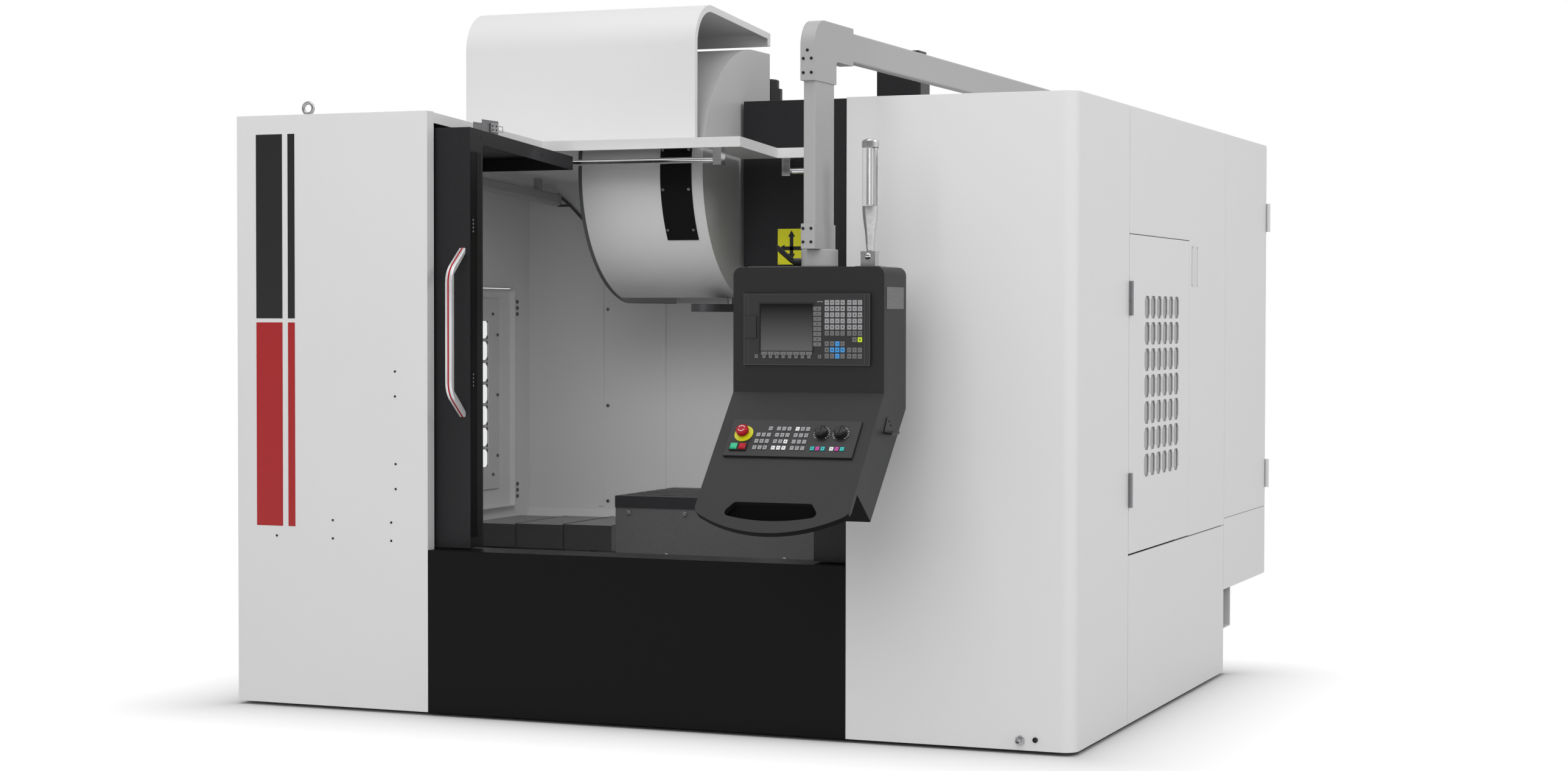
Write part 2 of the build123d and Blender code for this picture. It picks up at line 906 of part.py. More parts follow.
def saddle():
    """Cross slide on four carriage blocks."""
    half_x = saddle_length / 2
    half_y = saddle_depth / 2
    outline = [(-half_x, spindle_y - half_y + saddle_corner), (-half_x + saddle_corner, spindle_y - half_y),
               (half_x - saddle_corner, spindle_y - half_y), (half_x, spindle_y - half_y + saddle_corner),
               (half_x, spindle_y + half_y - saddle_corner), (half_x - saddle_corner, spindle_y + half_y),
               (-half_x + saddle_corner, spindle_y + half_y), (-half_x, spindle_y + half_y - saddle_corner)]
    body = prism_z(outline, saddle_bottom, saddle_bottom + saddle_thickness)
    for side_x in (-1, 1):
        for side_y in (-1, 1):
            body += rail_block_z(side_x * y_rail_spread / 2, spindle_y + side_y * y_block_spread / 2,
                                 bed_top + rail_height, rail_width)
    return body


def x_drive():
    """Rails on the saddle and the motor at its left end."""
    top = saddle_bottom + saddle_thickness
    pieces = []
    for side in (-1, 1):
        y = spindle_y + side * x_rail_spread / 2
        pieces.append(block(-x_rail_length / 2, x_rail_length / 2, y - rail_width / 2, y + rail_width / 2, top,
                            top + x_rail_height))
    motor = Pos(-saddle_length / 2 - motor_length / 2, spindle_y, top - motor_size / 2) * servo_motor(motor_length)
    return group(*pieces, motor)


def table_bottom():
    """Underside of the table, where its carriage blocks start."""
    return saddle_bottom + saddle_thickness + x_rail_height + block_crown


def table():
    """Work table with tee slots along x, on four carriage blocks."""
    half_y = table_depth / 2
    y0, y1 = spindle_y - half_y, spindle_y + half_y
    low, edge = table_bottom(), table_top - table_edge
    outline = [(y0, edge), (y0, table_top), (y1, table_top), (y1, edge), (y1 - table_body_inset, edge),
               (y1 - table_body_inset, low), (y0 + table_body_inset, low), (y0 + table_body_inset, edge)]
    body = prism_x(outline, -table_length / 2, table_length / 2)
    for index in range(slot_count):
        y = spindle_y + (index - (slot_count - 1) / 2) * slot_pitch
        neck = block(-table_length, table_length, y - slot_width / 2, y + slot_width / 2, table_top - slot_depth,
                     table_top + cut_overrun)
        head = block(-table_length, table_length, y - slot_head_width / 2, y + slot_head_width / 2,
                     table_top - slot_depth - slot_head_height, table_top - slot_depth)
        body -= neck + head
    rail_top = saddle_bottom + saddle_thickness + x_rail_height
    for side_x in (-1, 1):
        for side_y in (-1, 1):
            body += x_block(side_x * x_block_spread / 2, spindle_y + side_y * x_rail_spread / 2, rail_top)
    return body


def x_block(x, y, rail_top):
    """Carriage block that wraps a rail along x from above."""
    wrap = x_rail_height - pan_clear
    shell = block(x - block_length / 2, x + block_length / 2, y - block_width / 2, y + block_width / 2,
                  rail_top - wrap, rail_top + block_crown)
    groove = rail_width / 2 + rail_fit
    return shell - block(x - block_length, x + block_length, y - groove, y + groove, rail_top - wrap - cut_overrun,
                         rail_top + rail_fit)


def way_cover(stage):
    """One pair of telescopic covers. Stage 0 is the lowest, on the saddle's ends; the last is on the table."""
    inset = (cover_stages - 1 - stage) * cover_nest
    far = cover_far_end - stage * cover_pitch
    near = far - cover_length
    half = cover_depth / 2 - inset
    top = cover_top - inset
    low = cover_top - cover_skirt
    y0, y1 = spindle_y - half, spindle_y + half
    outline = [(y0, low), (y0, top), (y1, top), (y1, low), (y1 - cover_sheet, low), (y1 - cover_sheet, top - cover_sheet),
               (y0 + cover_sheet, top - cover_sheet), (y0 + cover_sheet, low)]
    cover = prism_x(outline, near, far)
    return group(cover, flip(cover))


def table_guards():
    """Apron plate under the table's front edge, with the hanger strips that carry the top covers."""
    y0 = spindle_y - table_depth / 2 + table_body_inset - apron_thickness
    apron = block(-table_length / 2, table_length / 2, y0, y0 + apron_thickness, apron_bottom, table_top - table_edge)
    far = cover_far_end - (cover_stages - 1) * cover_pitch
    strips = []
    for side in (-1, 1):
        x0 = side * (far - cover_length / 2)
        strips.append(block(x0 - lap, x0 + lap, spindle_y - cover_depth / 2, spindle_y + cover_depth / 2, cover_top,
                            table_bottom()))
    return group(apron, *strips, way_cover(cover_stages - 1))


def fixed_way_cover():
    """Lowest covers with the end plates that stand on brackets at the saddle's ends."""
    cover = way_cover(0)
    inset = (cover_stages - 1) * cover_nest
    half = cover_depth / 2 - inset
    end = block(cover_far_end - cover_sheet, cover_far_end, spindle_y - half, spindle_y + half, cover_top - cover_skirt,
                cover_top - inset)
    bracket = block(saddle_length / 2, cover_far_end, spindle_y + motor_size / 2 + motor_edge,
                    spindle_y + half - cover_sheet, saddle_bottom, saddle_bottom + motor_edge)
    pieces = [s + end + bracket if s.center().X > 0 else s + flip(end) + flip(bracket) for s in cover.solids()]
    return group(*pieces)


def head_casting():
    """Spindle head: a throat that deepens towards its carriage, with the nose and the spindle bore."""
    rear = column_front - rail_height - rail_fit
    front = head_front + casting_front_gap
    outline = [(front, casting_bottom), (front, casting_top), (rear, casting_top), (rear, carriage_bottom),
               (rear - carriage_depth, carriage_bottom), (throat_rise_y, casting_bottom)]
    half = head_width / 2 - sheet
    body = prism_x(outline, -half, half)
    body += rod_z(nose_radius, 0, spindle_y, casting_bottom - nose_drop, casting_bottom + sheet)
    body -= rod_z(spindle_radius + spindle_fit, 0, spindle_y, casting_bottom - nose_drop - cut_overrun,
                  spindle_nose_z + spindle_length + spindle_fit)
    for side in (-1, 1):
        x = side * z_rail_spread / 2
        for z in (carriage_bottom + block_length, casting_top - block_length):
            shell = block(x - block_width / 2, x + block_width / 2, rear - sheet, rear + block_wrap,
                          z - block_length / 2, z + block_length / 2)
            groove = rail_width / 2 + rail_fit
            body += shell - block(x - groove, x + groove, rear, rear + block_wrap + cut_overrun, z - block_length,
                                  z + block_length)
    return body


def head_cover():
    """Dark sheet cover over the head, open below and behind."""
    half = head_width / 2
    rear = chamber_depth - lap
    cover = block(-half, half, head_front, rear, head_cover_bottom, head_top)
    return cover - block(-half + sheet, half - sheet, head_front + sheet, rear + cut_overrun,
                         head_cover_bottom - cut_overrun, head_top - sheet)


def spindle():
    """Spindle with its nose flange and tool taper."""
    flange_top = spindle_nose_z + spindle_flange_height
    body = rod_z(spindle_flange_radius, 0, spindle_y, spindle_nose_z, flange_top)
    body += rod_z(spindle_radius, 0, spindle_y, flange_top, spindle_nose_z + spindle_length)
    taper = Pos(0, spindle_y, spindle_nose_z + taper_depth / 2) * Cone(taper_mouth_radius, taper_end_radius, taper_depth)
    return body - taper


def magazine_outline(inset):
    """Side view of the magazine cover, round in front and flat behind, as a face at x zero."""
    radius = magazine_radius - inset
    drop = magazine_z - magazine_bottom
    reach = math.sqrt(max(radius * radius - drop * drop, sheet * sheet))
    top = magazine_z + radius
    rear = magazine_rear - inset
    start = (0, spindle_y - reach, magazine_bottom)
    front = (0, spindle_y - radius, magazine_z)
    end = (0, spindle_y, top)
    edges = [ThreePointArc(start, front, end),
             Polyline(end, (0, rear, top), (0, rear, magazine_bottom), start)]
    return make_face(edges)


def magazine_cover():
    """Sheet cover of the tool magazine, open below, with a hole at the back for the changer's beam."""
    length = magazine_right - magazine_left
    cover = Pos(magazine_left, 0, 0) * extrude(magazine_outline(0), length, dir=(1, 0, 0))
    hollow = Pos(magazine_left + sheet, 0, 0) * extrude(magazine_outline(sheet), length - 2 * sheet, dir=(1, 0, 0))
    top = magazine_z + magazine_radius
    cover += block(magazine_left, magazine_step_x, magazine_rear - sheet, magazine_back_left, magazine_bottom, top)
    cover -= hollow
    cover -= block(magazine_left + sheet, magazine_step_x - sheet, magazine_rear - cut_overrun,
                   magazine_back_left - sheet, magazine_bottom - cut_overrun, top - sheet)
    cover -= block(magazine_left + sheet, magazine_right - sheet, spindle_y - magazine_radius, magazine_rear - sheet,
                   magazine_bottom - cut_overrun, magazine_bottom + cut_overrun)
    half = changer_width / 2
    cover -= block(changer_x - half, changer_x + half, magazine_rear - cut_overrun, magazine_rear + cut_overrun,
                   beam_bottom, beam_top)
    return cover


def magazine_access_cover():
    """Curved cover plate on the round front of the magazine."""
    outer = magazine_radius + access_thickness
    ring = Pos(access_x, spindle_y, magazine_z) * Rot(0, 90, 0) * Cylinder(outer, access_width)
    ring -= Pos(access_x, spindle_y, magazine_z) * Rot(0, 90, 0) * Cylinder(magazine_radius, 2 * access_width)
    far = 2 * magazine_radius
    low, high = math.radians(access_low_angle), math.radians(access_high_angle)
    wedge = [(spindle_y, magazine_z), (spindle_y + far * math.cos(low), magazine_z + far * math.sin(low)),
             (spindle_y + far * math.cos(high), magazine_z + far * math.sin(high))]
    return ring & prism_x(wedge, access_x - access_width, access_x + access_width)


def tool_carousel():
    """Disc with lightening holes, a hub and a ring of tool pots."""
    face = carousel_x - carousel_disc / 2
    disc = rod_x(carousel_radius, face, face + carousel_disc, spindle_y, magazine_z)
    for index in range(carousel_windows):
        angle = 2 * math.pi * index / carousel_windows
        disc -= rod_x(carousel_window_radius, face - cut_overrun, face + carousel_disc + cut_overrun,
                      spindle_y + carousel_window_circle * math.cos(angle),
                      magazine_z + carousel_window_circle * math.sin(angle))
    hub_right = changer_x - changer_width / 2 - sheet
    disc += rod_x(carousel_hub_radius, hub_right - carousel_hub_length, hub_right, spindle_y, magazine_z)
    for index in range(pot_count):
        angle = 2 * math.pi * (index + 0.5) / pot_count
        disc += rod_x(pot_radius, face - pot_length, face + carousel_disc, spindle_y + pot_circle * math.cos(angle),
                      magazine_z + pot_circle * math.sin(angle))
    return disc - rod_x(axle_radius + axle_fit, face - pot_length, hub_right + cut_overrun, spindle_y, magazine_z)


def changer_housing():
    """Changer gearbox with the carousel's axle, on a beam from the column, and the tower of its motor."""
    half = changer_width / 2
    x0, x1 = changer_x - half, changer_x + half
    front = spindle_y - gearbox_depth / 2
    outline = [(front, gearbox_bottom), (front, gearbox_top), (front + gearbox_depth, gearbox_top),
               (front + gearbox_depth, beam_top), (tower_front, beam_top), (tower_front, tower_top),
               (tower_front + tower_depth, tower_top), (tower_front + tower_depth, beam_top), (column_front, beam_top),
               (column_front, beam_bottom), (front + gearbox_depth, beam_bottom), (front + gearbox_depth, gearbox_bottom)]
    body = prism_x(outline, x0, x1)
    axle_end = changer_x - half - carousel_hub_length
    body += rod_x(axle_radius, axle_end, x0 + sheet, spindle_y, magazine_z)
    top = arm_top + quill_length + rod_fit
    return body - rod_z(quill_radius + axle_fit, changer_x, spindle_y, gearbox_bottom - cut_overrun, top)


def changer_motor():
    """Motor of the changer on its tower: a round body with a smaller cap."""
    y = tower_front + tower_depth / 2
    top = tower_top + changer_motor_height
    body = rod_z(changer_motor_radius, changer_x, y, tower_top, top - changer_motor_cap)
    body += rod_z(changer_motor_radius - motor_edge, changer_x, y, tower_top, top)
    return fillet(body.edges().group_by(Axis.Z)[-1], motor_edge / 2)


def changer_quill():
    """Bar that drops and lifts the changer arm."""
    return rod_z(quill_radius, changer_x, spindle_y, arm_top, arm_top + quill_length)


def changer_arm():
    """Double arm with an open grip at each end, parked along y."""
    low = arm_top - arm_thick
    reach = -changer_x
    half = arm_waist / 2
    arm = block(changer_x - half, changer_x + half, spindle_y - reach, spindle_y + reach, low, arm_top)
    arm += rod_z(arm_hub_radius, changer_x, spindle_y, low, arm_top)
    for side in (-1, 1):
        y = spindle_y + side * reach
        arm += rod_z(arm_palm_radius, changer_x, y, low, arm_top)
        arm -= rod_z(arm_grip_radius, changer_x, y, low - cut_overrun, arm_top + cut_overrun)
        far = changer_x + side * 2 * arm_palm_radius
        arm -= block(min(changer_x, far), max(changer_x, far), y - arm_grip_radius, y + arm_grip_radius,
                     low - cut_overrun, arm_top + cut_overrun)
    return arm


def hood_outline(inset):
    """Side view of the hood: front, bent top and rear, as a face at x zero."""
    front, rear = hood_front + inset, hood_rear - inset
    top = hood_top_front - inset
    slope = hood_fall / (hood_rear - hood_front - hood_bend)
    bend = hood_bend - inset
    turn = bend * math.sqrt(0.5)
    low = roof_z(hood_rear) - flange_height
    arc = ThreePointArc((0, front, top - bend), (0, front + bend - turn, top - bend + turn), (0, front + bend, top))
    rear_top = top - slope * (rear - front - bend)
    rest = Polyline((0, front + bend, top), (0, rear, rear_top), (0, rear, low), (0, front, low), (0, front, top - bend))
    return make_face([arc, rest])


def magazine_hood():
    """Bent hood over the magazine, closed at its left end and hemmed at its right end."""
    length = hood_right - hood_left
    hood = Pos(hood_left, 0, 0) * extrude(hood_outline(0), length, dir=(1, 0, 0))
    hood -= Pos(hood_left + sheet, 0, 0) * extrude(hood_outline(sheet), length - 2 * sheet, dir=(1, 0, 0))
    hood -= Pos(hood_right - 2 * sheet, 0, 0) * extrude(hood_outline(hood_hem), length, dir=(1, 0, 0))
    outline = [(hood_front - cut_overrun, roof_z(hood_front - cut_overrun)), (hood_rear + cut_overrun, roof_z(hood_rear + cut_overrun)),
               (hood_rear + cut_overrun, 0), (hood_front - cut_overrun, 0)]
    hood -= prism_x(outline, hood_left - cut_overrun, hood_right + cut_overrun)
    back_top = hood_top_front - hood_fall - 2 * hood_hem
    return hood - block(hood_left + hood_hem, hood_right + cut_overrun, hood_rear - hood_hem - sheet,
                        hood_rear + cut_overrun, 0, back_top)


def console_arm():
    """Boom, elbow and post of the console arm, with the socket at the post's foot."""
    half = post_width / 2
    boom = block(console_x - half, console_x + half, post_y, pivot_y + boom_tail, boom_bottom, boom_bottom + boom_height)
    boom = fillet(boom.edges().filter_by(Axis.Y), arm_edge)
    post = block(console_x - half, console_x + half, post_y - post_front, post_y + post_rear,
                 console_top + collar_height, boom_bottom + boom_height / 2)
    post = fillet(post.edges().filter_by(Axis.Z), arm_edge)
    front = post_y - post_front - elbow_front_wall
    rear = post_y + post_rear + elbow_rear_wall
    outline = [(front, elbow_bottom), (front, elbow_top), (rear + elbow_reach, elbow_top),
               (rear + elbow_reach, elbow_inner_z), (rear, elbow_inner_z), (rear, elbow_bottom)]
    elbow = prism_x(outline, console_x - half - elbow_wall, console_x + half + elbow_wall)
    across = elbow.edges().filter_by(Axis.X)
    elbow = fillet([e for e in across if e.center().Y < post_y and e.center().Z > boom_bottom], elbow_bend)
    across = elbow.edges().filter_by(Axis.X)
    elbow = fillet([e for e in across if abs(e.center().Z - elbow_inner_z) < elbow_wall
                    and abs(e.center().Y - rear) < elbow_wall], elbow_inner_bend)
    socket_low = console_top + collar_height
    socket = block(console_x - half - elbow_wall, console_x + half + elbow_wall, front, rear, socket_low,
                   socket_low + socket_height)
    socket = fillet(socket.edges().filter_by(Axis.Z), arm_edge + elbow_wall)
    return boom + post + elbow + socket


def arm_pivot():
    """Turntable of the console arm on the cabinet's top."""
    flange = rod_z(pivot_flange_radius, console_x, pivot_y, enclosure_height, enclosure_height + pivot_flange)
    return flange + rod_z(pivot_radius, console_x, pivot_y, enclosure_height, boom_bottom)


def console_collar():
    """Round swivel between the console and its arm."""
    collar = rod_z(collar_radius, console_x, post_y, console_top, console_top + collar_height)
    return fillet(collar.edges().group_by(Axis.Z)[0], arm_edge)


desk_length = math.hypot(desk_run, desk_drop)
desk_plane = Plane(
    origin=(console_x, console_front, console_fold_z), x_dir=(1, 0, 0), z_dir=(0, -desk_drop, -desk_run)
)


def desk_point(share):
    """A point (y, z) down the desk's slope."""
    return console_front + share * desk_run, console_fold_z - share * desk_drop


def console_housing():
    """Console: an upright box that folds into a sloping desk with a curved lip and a hand slot."""
    rear = console_front + console_depth
    outline = [(rear, console_top), (console_front, console_top), (console_front, console_fold_z),
               desk_point(desk_box_share), (desk_low_y, desk_low_z), (rear, console_kink_z)]
    half = console_width / 2
    box = prism_x(outline, console_x - half, console_x + half)
    box = fillet(box.edges().filter_by(Axis.Y).sort_by(Axis.Z)[-2:], console_corner)
    side = desk_side_share * desk_length
    lip = [Polyline((-half, -side), (-half, 0), (half, 0), (half, -side)),
           ThreePointArc((half, -side), (0, -desk_length), (-half, -side))]
    plate = make_face(lip)
    plate = fillet(plate.vertices().sort_by(Axis.Y)[:2], desk_corner)
    slot = [Polyline((-grip_slot_side_half, -grip_slot_side), (-grip_slot_top_half, -grip_slot_top),
                     (grip_slot_top_half, -grip_slot_top), (grip_slot_side_half, -grip_slot_side)),
            ThreePointArc((grip_slot_side_half, -grip_slot_side), (0, -grip_slot_low),
                          (-grip_slot_side_half, -grip_slot_side))]
    slot = make_face(slot)
    plate -= fillet(slot.vertices(), grip_slot_corner)
    return box + desk_plane * extrude(plate, -desk_plate)


def on_desk(u, v, height, shape):
    """A shape stood on the desk at u to the side and v down the slope."""
    return desk_plane * (Pos(u, -v, height) * shape)


def control_unit():
    """Flat control unit with a recess for its screen."""
    x0 = console_x + unit_left
    face = console_front - unit_thick
    unit = block(x0, x0 + unit_width, face, console_front, unit_bottom, unit_bottom + unit_height)
    x0 = console_x + screen_left
    return unit - block(x0, x0 + screen_width, face - cut_overrun, face + screen_thick, screen_bottom,
                        screen_bottom + screen_height)


def screen():
    """Glass of the control unit's screen."""
    x0 = console_x + screen_left
    face = console_front - unit_thick
    return block(x0, x0 + screen_width, face + screen_thick / 2, face + screen_thick, screen_bottom,
                 screen_bottom + screen_height)


def unit_key(x, z, wide, high):
    """One key on the control unit's face."""
    face = console_front - unit_thick
    return block(console_x + x - wide / 2, console_x + x + wide / 2, face - key_proud, face, z - high / 2, z + high / 2)


def key_x(column_index):
    """Place of a column of keys, with the gap between the two blocks of keys."""
    gap = key_block_gap if column_index >= key_block_columns else 0
    return key_field_x + column_index * key_pitch_x + gap


def panel_key(u, v):
    """One key on the operator panel."""
    return on_desk(u, v, panel_thick + key_proud / 2, Box(group_key_wide, group_key_high, key_proud))


def unit_keys():
    """Keys of the control unit: the letter field, the cursor field and the soft keys."""
    keys = []
    for column_index in range(key_field_columns):
        x = key_x(column_index)
        for row in range(key_field_rows):
            keys.append(unit_key(x, key_field_z - row * key_pitch_z, key_wide, key_high))
        first = 0 if column_index < key_block_columns else 1
        for row in range(first, cursor_rows):
            keys.append(unit_key(x, cursor_z - row * key_pitch_z, key_wide, key_high))
        if column_index > key_block_columns:
            keys.append(unit_key(x, enter_z, key_wide, key_high))
    for index in range(soft_key_count):
        keys.append(unit_key(soft_side_x, soft_side_z + index * soft_side_pitch, soft_side_wide, soft_side_high))
        x = soft_low_x + index * soft_low_pitch
        neck = unit_key(x, soft_low_top - soft_low_step, soft_low_neck, 2 * soft_low_step)
        keys.append(neck + unit_key(x, soft_low_top - soft_low_step / 2, soft_low_wide, soft_low_step))
    for x in corner_key_x:
        keys.append(unit_key(x, corner_key_z, corner_key, corner_key))
    return keys


def panel_keys():
    """Keys of the control unit and of the operator panel."""
    keys = unit_keys()
    low_row = group_top + (group_rows - 1) * group_row_pitch
    for key in range(group_columns):
        for column_index in range(group_columns):
            u = group_left + column_index * group_pitch + key * group_key_pitch
            first = 1 if column_index == 0 and key < group_columns - 1 else 0
            for row in range(first, group_rows):
                keys.append(panel_key(u, group_top + row * group_row_pitch))
        for column_index in range(color_groups):
            keys.append(panel_key(color_left + column_index * color_pitch + key * group_key_pitch, low_row))
    return group(*keys)


def operator_panel():
    """Plate on the desk that holds the buttons, with the holes that they travel in."""
    plate = on_desk(panel_left + panel_width / 2, panel_start + panel_height / 2, panel_thick / 2,
                    Box(panel_width, panel_height, panel_thick))
    deep = 2 * panel_thick
    plate -= on_desk(estop_u, estop_v, panel_thick, Cylinder(estop_stem_radius + button_fit, deep))
    hole = button_size + 2 * button_fit
    for u in (start_u, stop_u):
        plate -= on_desk(u, button_v, panel_thick, Box(hole, hole, deep))
    return plate


def estop_button():
    """Mushroom of the emergency stop on its stem."""
    stem_low = estop_travel + button_fit
    stem = Pos(0, 0, (stem_low + estop_height) / 2) * Cylinder(estop_stem_radius, estop_height - stem_low)
    top = panel_thick + estop_height
    cap = Pos(0, 0, top - estop_head / 2) * Cylinder(estop_radius, estop_head)
    cap = fillet(cap.edges().group_by(Axis.Z)[-1], estop_head / 2)
    return on_desk(estop_u, estop_v, 0, stem + cap)


def push_button(u):
    """Square push-button in its hole."""
    low = button_travel + button_fit
    high = panel_thick + button_proud
    cap = Pos(0, 0, (low + high) / 2) * Box(button_size, button_size, high - low)
    cap = chamfer(cap.edges().group_by(Axis.Z)[-1], button_travel)
    return on_desk(u, button_v, 0, cap)


def override_knob(u):
    """Rotary override knob with a raised pointer."""
    knob = Pos(0, 0, knob_height / 2) * Cylinder(knob_radius, knob_height)
    knob = chamfer(knob.edges().group_by(Axis.Z)[-1], knob_pointer)
    knob += Pos(0, 0, knob_height) * Box(knob_pointer, 2 * (knob_radius - knob_pointer), knob_pointer)
    return on_desk(u, knob_v, panel_thick, knob)


def lamp_stem():
    """Folded foot and tapered stem of the signal lamp, with the cap over its tube."""
    half_x, half_y = lamp_foot_width / 2, lamp_foot_depth / 2
    foot_top = console_top + lamp_foot_height
    foot = block(lamp_x - half_x, lamp_x + half_x, lamp_y - half_y, lamp_y + half_y, console_top, foot_top)
    foot -= block(lamp_x - half_x - cut_overrun, lamp_x + half_x + cut_overrun, lamp_y - half_y + sheet,
                  lamp_y + half_y + cut_overrun, console_top + sheet, foot_top - sheet)
    foot += block(lamp_x - lamp_flange_width / 2, lamp_x + lamp_flange_width / 2, lamp_y - half_y, lamp_y + half_y,
                  console_top, console_top + sheet)
    rise = lamp_stem_top - foot_top
    side = [(r, 0, foot_top + share * rise) for r, share in zip(lamp_stem_radii, lamp_stem_shares)]
    profile = make_face([Spline(*side), Polyline(side[-1], (0, 0, lamp_stem_top), (0, 0, foot_top), side[0])])
    stem = Pos(lamp_x, lamp_y, 0) * revolve(profile, Axis.Z)
    cap = rod_z(lamp_cap_radius, lamp_x, lamp_y, lamp_tube_top, lamp_cap_top)
    cap = fillet(cap.edges().group_by(Axis.Z)[-1], lamp_cap_edge)
    return group(foot + stem, cap)


def lamp_tube():
    """Clear tube of the signal lamp."""
    return rod_z(lamp_tube_radius, lamp_x, lamp_y, lamp_stem_top, lamp_tube_top)


def electrical_cabinet():
    """Hung cabinet with its brackets, the side skin that meets the wall and a plate of drive modules."""
    body = block(cabinet_left, half_width, cabinet_front, cabinet_rear - cabinet_door_thickness, cabinet_bottom,
                 enclosure_height)
    body -= block(cabinet_left + sheet, half_width - sheet, cabinet_front + sheet, cabinet_rear + cut_overrun,
                  cabinet_bottom + sheet, enclosure_height - sheet)
    body += block(inner_half, half_width, body_depth + seam, cabinet_front, cabinet_bottom, enclosure_height)
    y = (column_front + bed_rear) / 2 - cabinet_bracket_depth
    for share in cabinet_bracket_shares:
        z = cabinet_bottom + share * (enclosure_height - cabinet_bottom)
        body += block(column_width / 2, cabinet_left, y, y + cabinet_bracket_depth, z, z + cabinet_bracket_height)
    pitch = (half_width - cabinet_left) / module_count
    for index in range(module_count):
        x = cabinet_left + (index + 0.5) * pitch
        body += block(x - module_width / 2, x + module_width / 2, cabinet_front + sheet, cabinet_front + module_depth,
                      module_z, module_z + module_height)
    return body


def cabinet_door():
    """Rear door of the cabinet: a folded tray on two hinges."""
    x0, x1 = cabinet_left + side_door_gap, half_width - side_door_gap
    z0, z1 = cabinet_bottom + side_door_gap, enclosure_height - side_door_gap
    tray = block(x0, x1, cabinet_rear - cabinet_door_thickness, cabinet_rear, z0, z1)
    tray -= block(x0 + sheet, x1 - sheet, cabinet_rear - cabinet_door_thickness - cut_overrun,
                  cabinet_rear - sheet, z0 + sheet, z1 - sheet)
    pin_x = half_width + hinge_knuckle_radius + hinge_fit
    for share in (hinge_low_share, hinge_high_share):
        low = z0 + share * (z1 - z0)
        high = low + hinge_leaf_height
        tray += block(x1 - hinge_leaf_depth, pin_x, cabinet_rear - hinge_leaf_proud, cabinet_rear, low, high)
        tray += rod_z(hinge_knuckle_radius, pin_x, cabinet_rear - hinge_knuckle_radius, low, high)
    return tray


def eye_bolt(x, y):
    """Lifting eye that stands on the top cover."""
    foot = roof_z(y - eye_shank)
    center = roof_z(y) + eye_ring + 2 * eye_wire
    ring = Pos(x, y, center) * Rot(90, 0, 0) * Torus(eye_ring, eye_wire)
    return ring + rod_z(eye_shank, x, y, foot, center - eye_ring)


def eye_bolts():
    """Lifting eyes on both top covers."""
    return group(eye_bolt(-eye_x, eye_front_y), eye_bolt(-eye_x, eye_rear_y), eye_bolt(eye_x, eye_rear_y))


def bar_between(start, end, width):
    """Four corners of a straight bar between two points."""
    length = ((end[0] - start[0]) ** 2 + (end[1] - start[1]) ** 2) ** 0.5
    side = ((start[1] - end[1]) / length * width / 2, (end[0] - start[0]) / length * width / 2)
    return [
        (start[0] + side[0], start[1] + side[1]), (end[0] + side[0], end[1] + side[1]),
        (end[0] - side[0], end[1] - side[1]), (start[0] - side[0], start[1] - side[1]),
    ]


def work_light():
    """Long lamp that hangs under the left cover and follows its fall, with a fork to the back wall."""
    right = light_x + light_depth
    ends = (light_front, light_rear)
    outline = [(y, roof_z(y) - light_drop) for y in ends]
    outline += [(y, roof_z(y) - light_drop - light_height) for y in reversed(ends)]
    lamp = prism_x(outline, light_x, right)
    long_edges = lamp.edges().group_by(Axis.X)[-1].filter_by(Axis.Z, reverse=True)
    lamp = fillet(long_edges, light_depth / 3)
    for share in light_hanger_shares:
        y0 = light_front + share * light_length
        y1 = y0 + light_hanger_length
        hanger = [(y, roof_z(y) - sheet) for y in (y0, y1)] + [(y, roof_z(y) - light_drop) for y in (y1, y0)]
        lamp += prism_x(hanger, light_x, light_x + light_hanger_width)
    top = roof_z(light_rear) - light_drop
    middle = (right + fork_reach, top - light_height)
    foot = (right + fork_stem_reach, top - light_height - fork_stem_fall)
    for tip in ((light_x + light_depth / 2, top), (light_x + light_depth / 2, top - light_height)):
        lamp += prism_y(bar_between(tip, middle, fork_bar), light_rear, light_rear + fork_thickness)
    lamp += prism_y(bar_between(middle, foot, fork_bar), light_rear, light_rear + fork_thickness)
    half_foot = fork_bar / 2
    return lamp + block(foot[0] - half_foot, foot[0] + half_foot, light_rear, chamber_depth, foot[1] - half_foot,
                        foot[1] + half_foot)


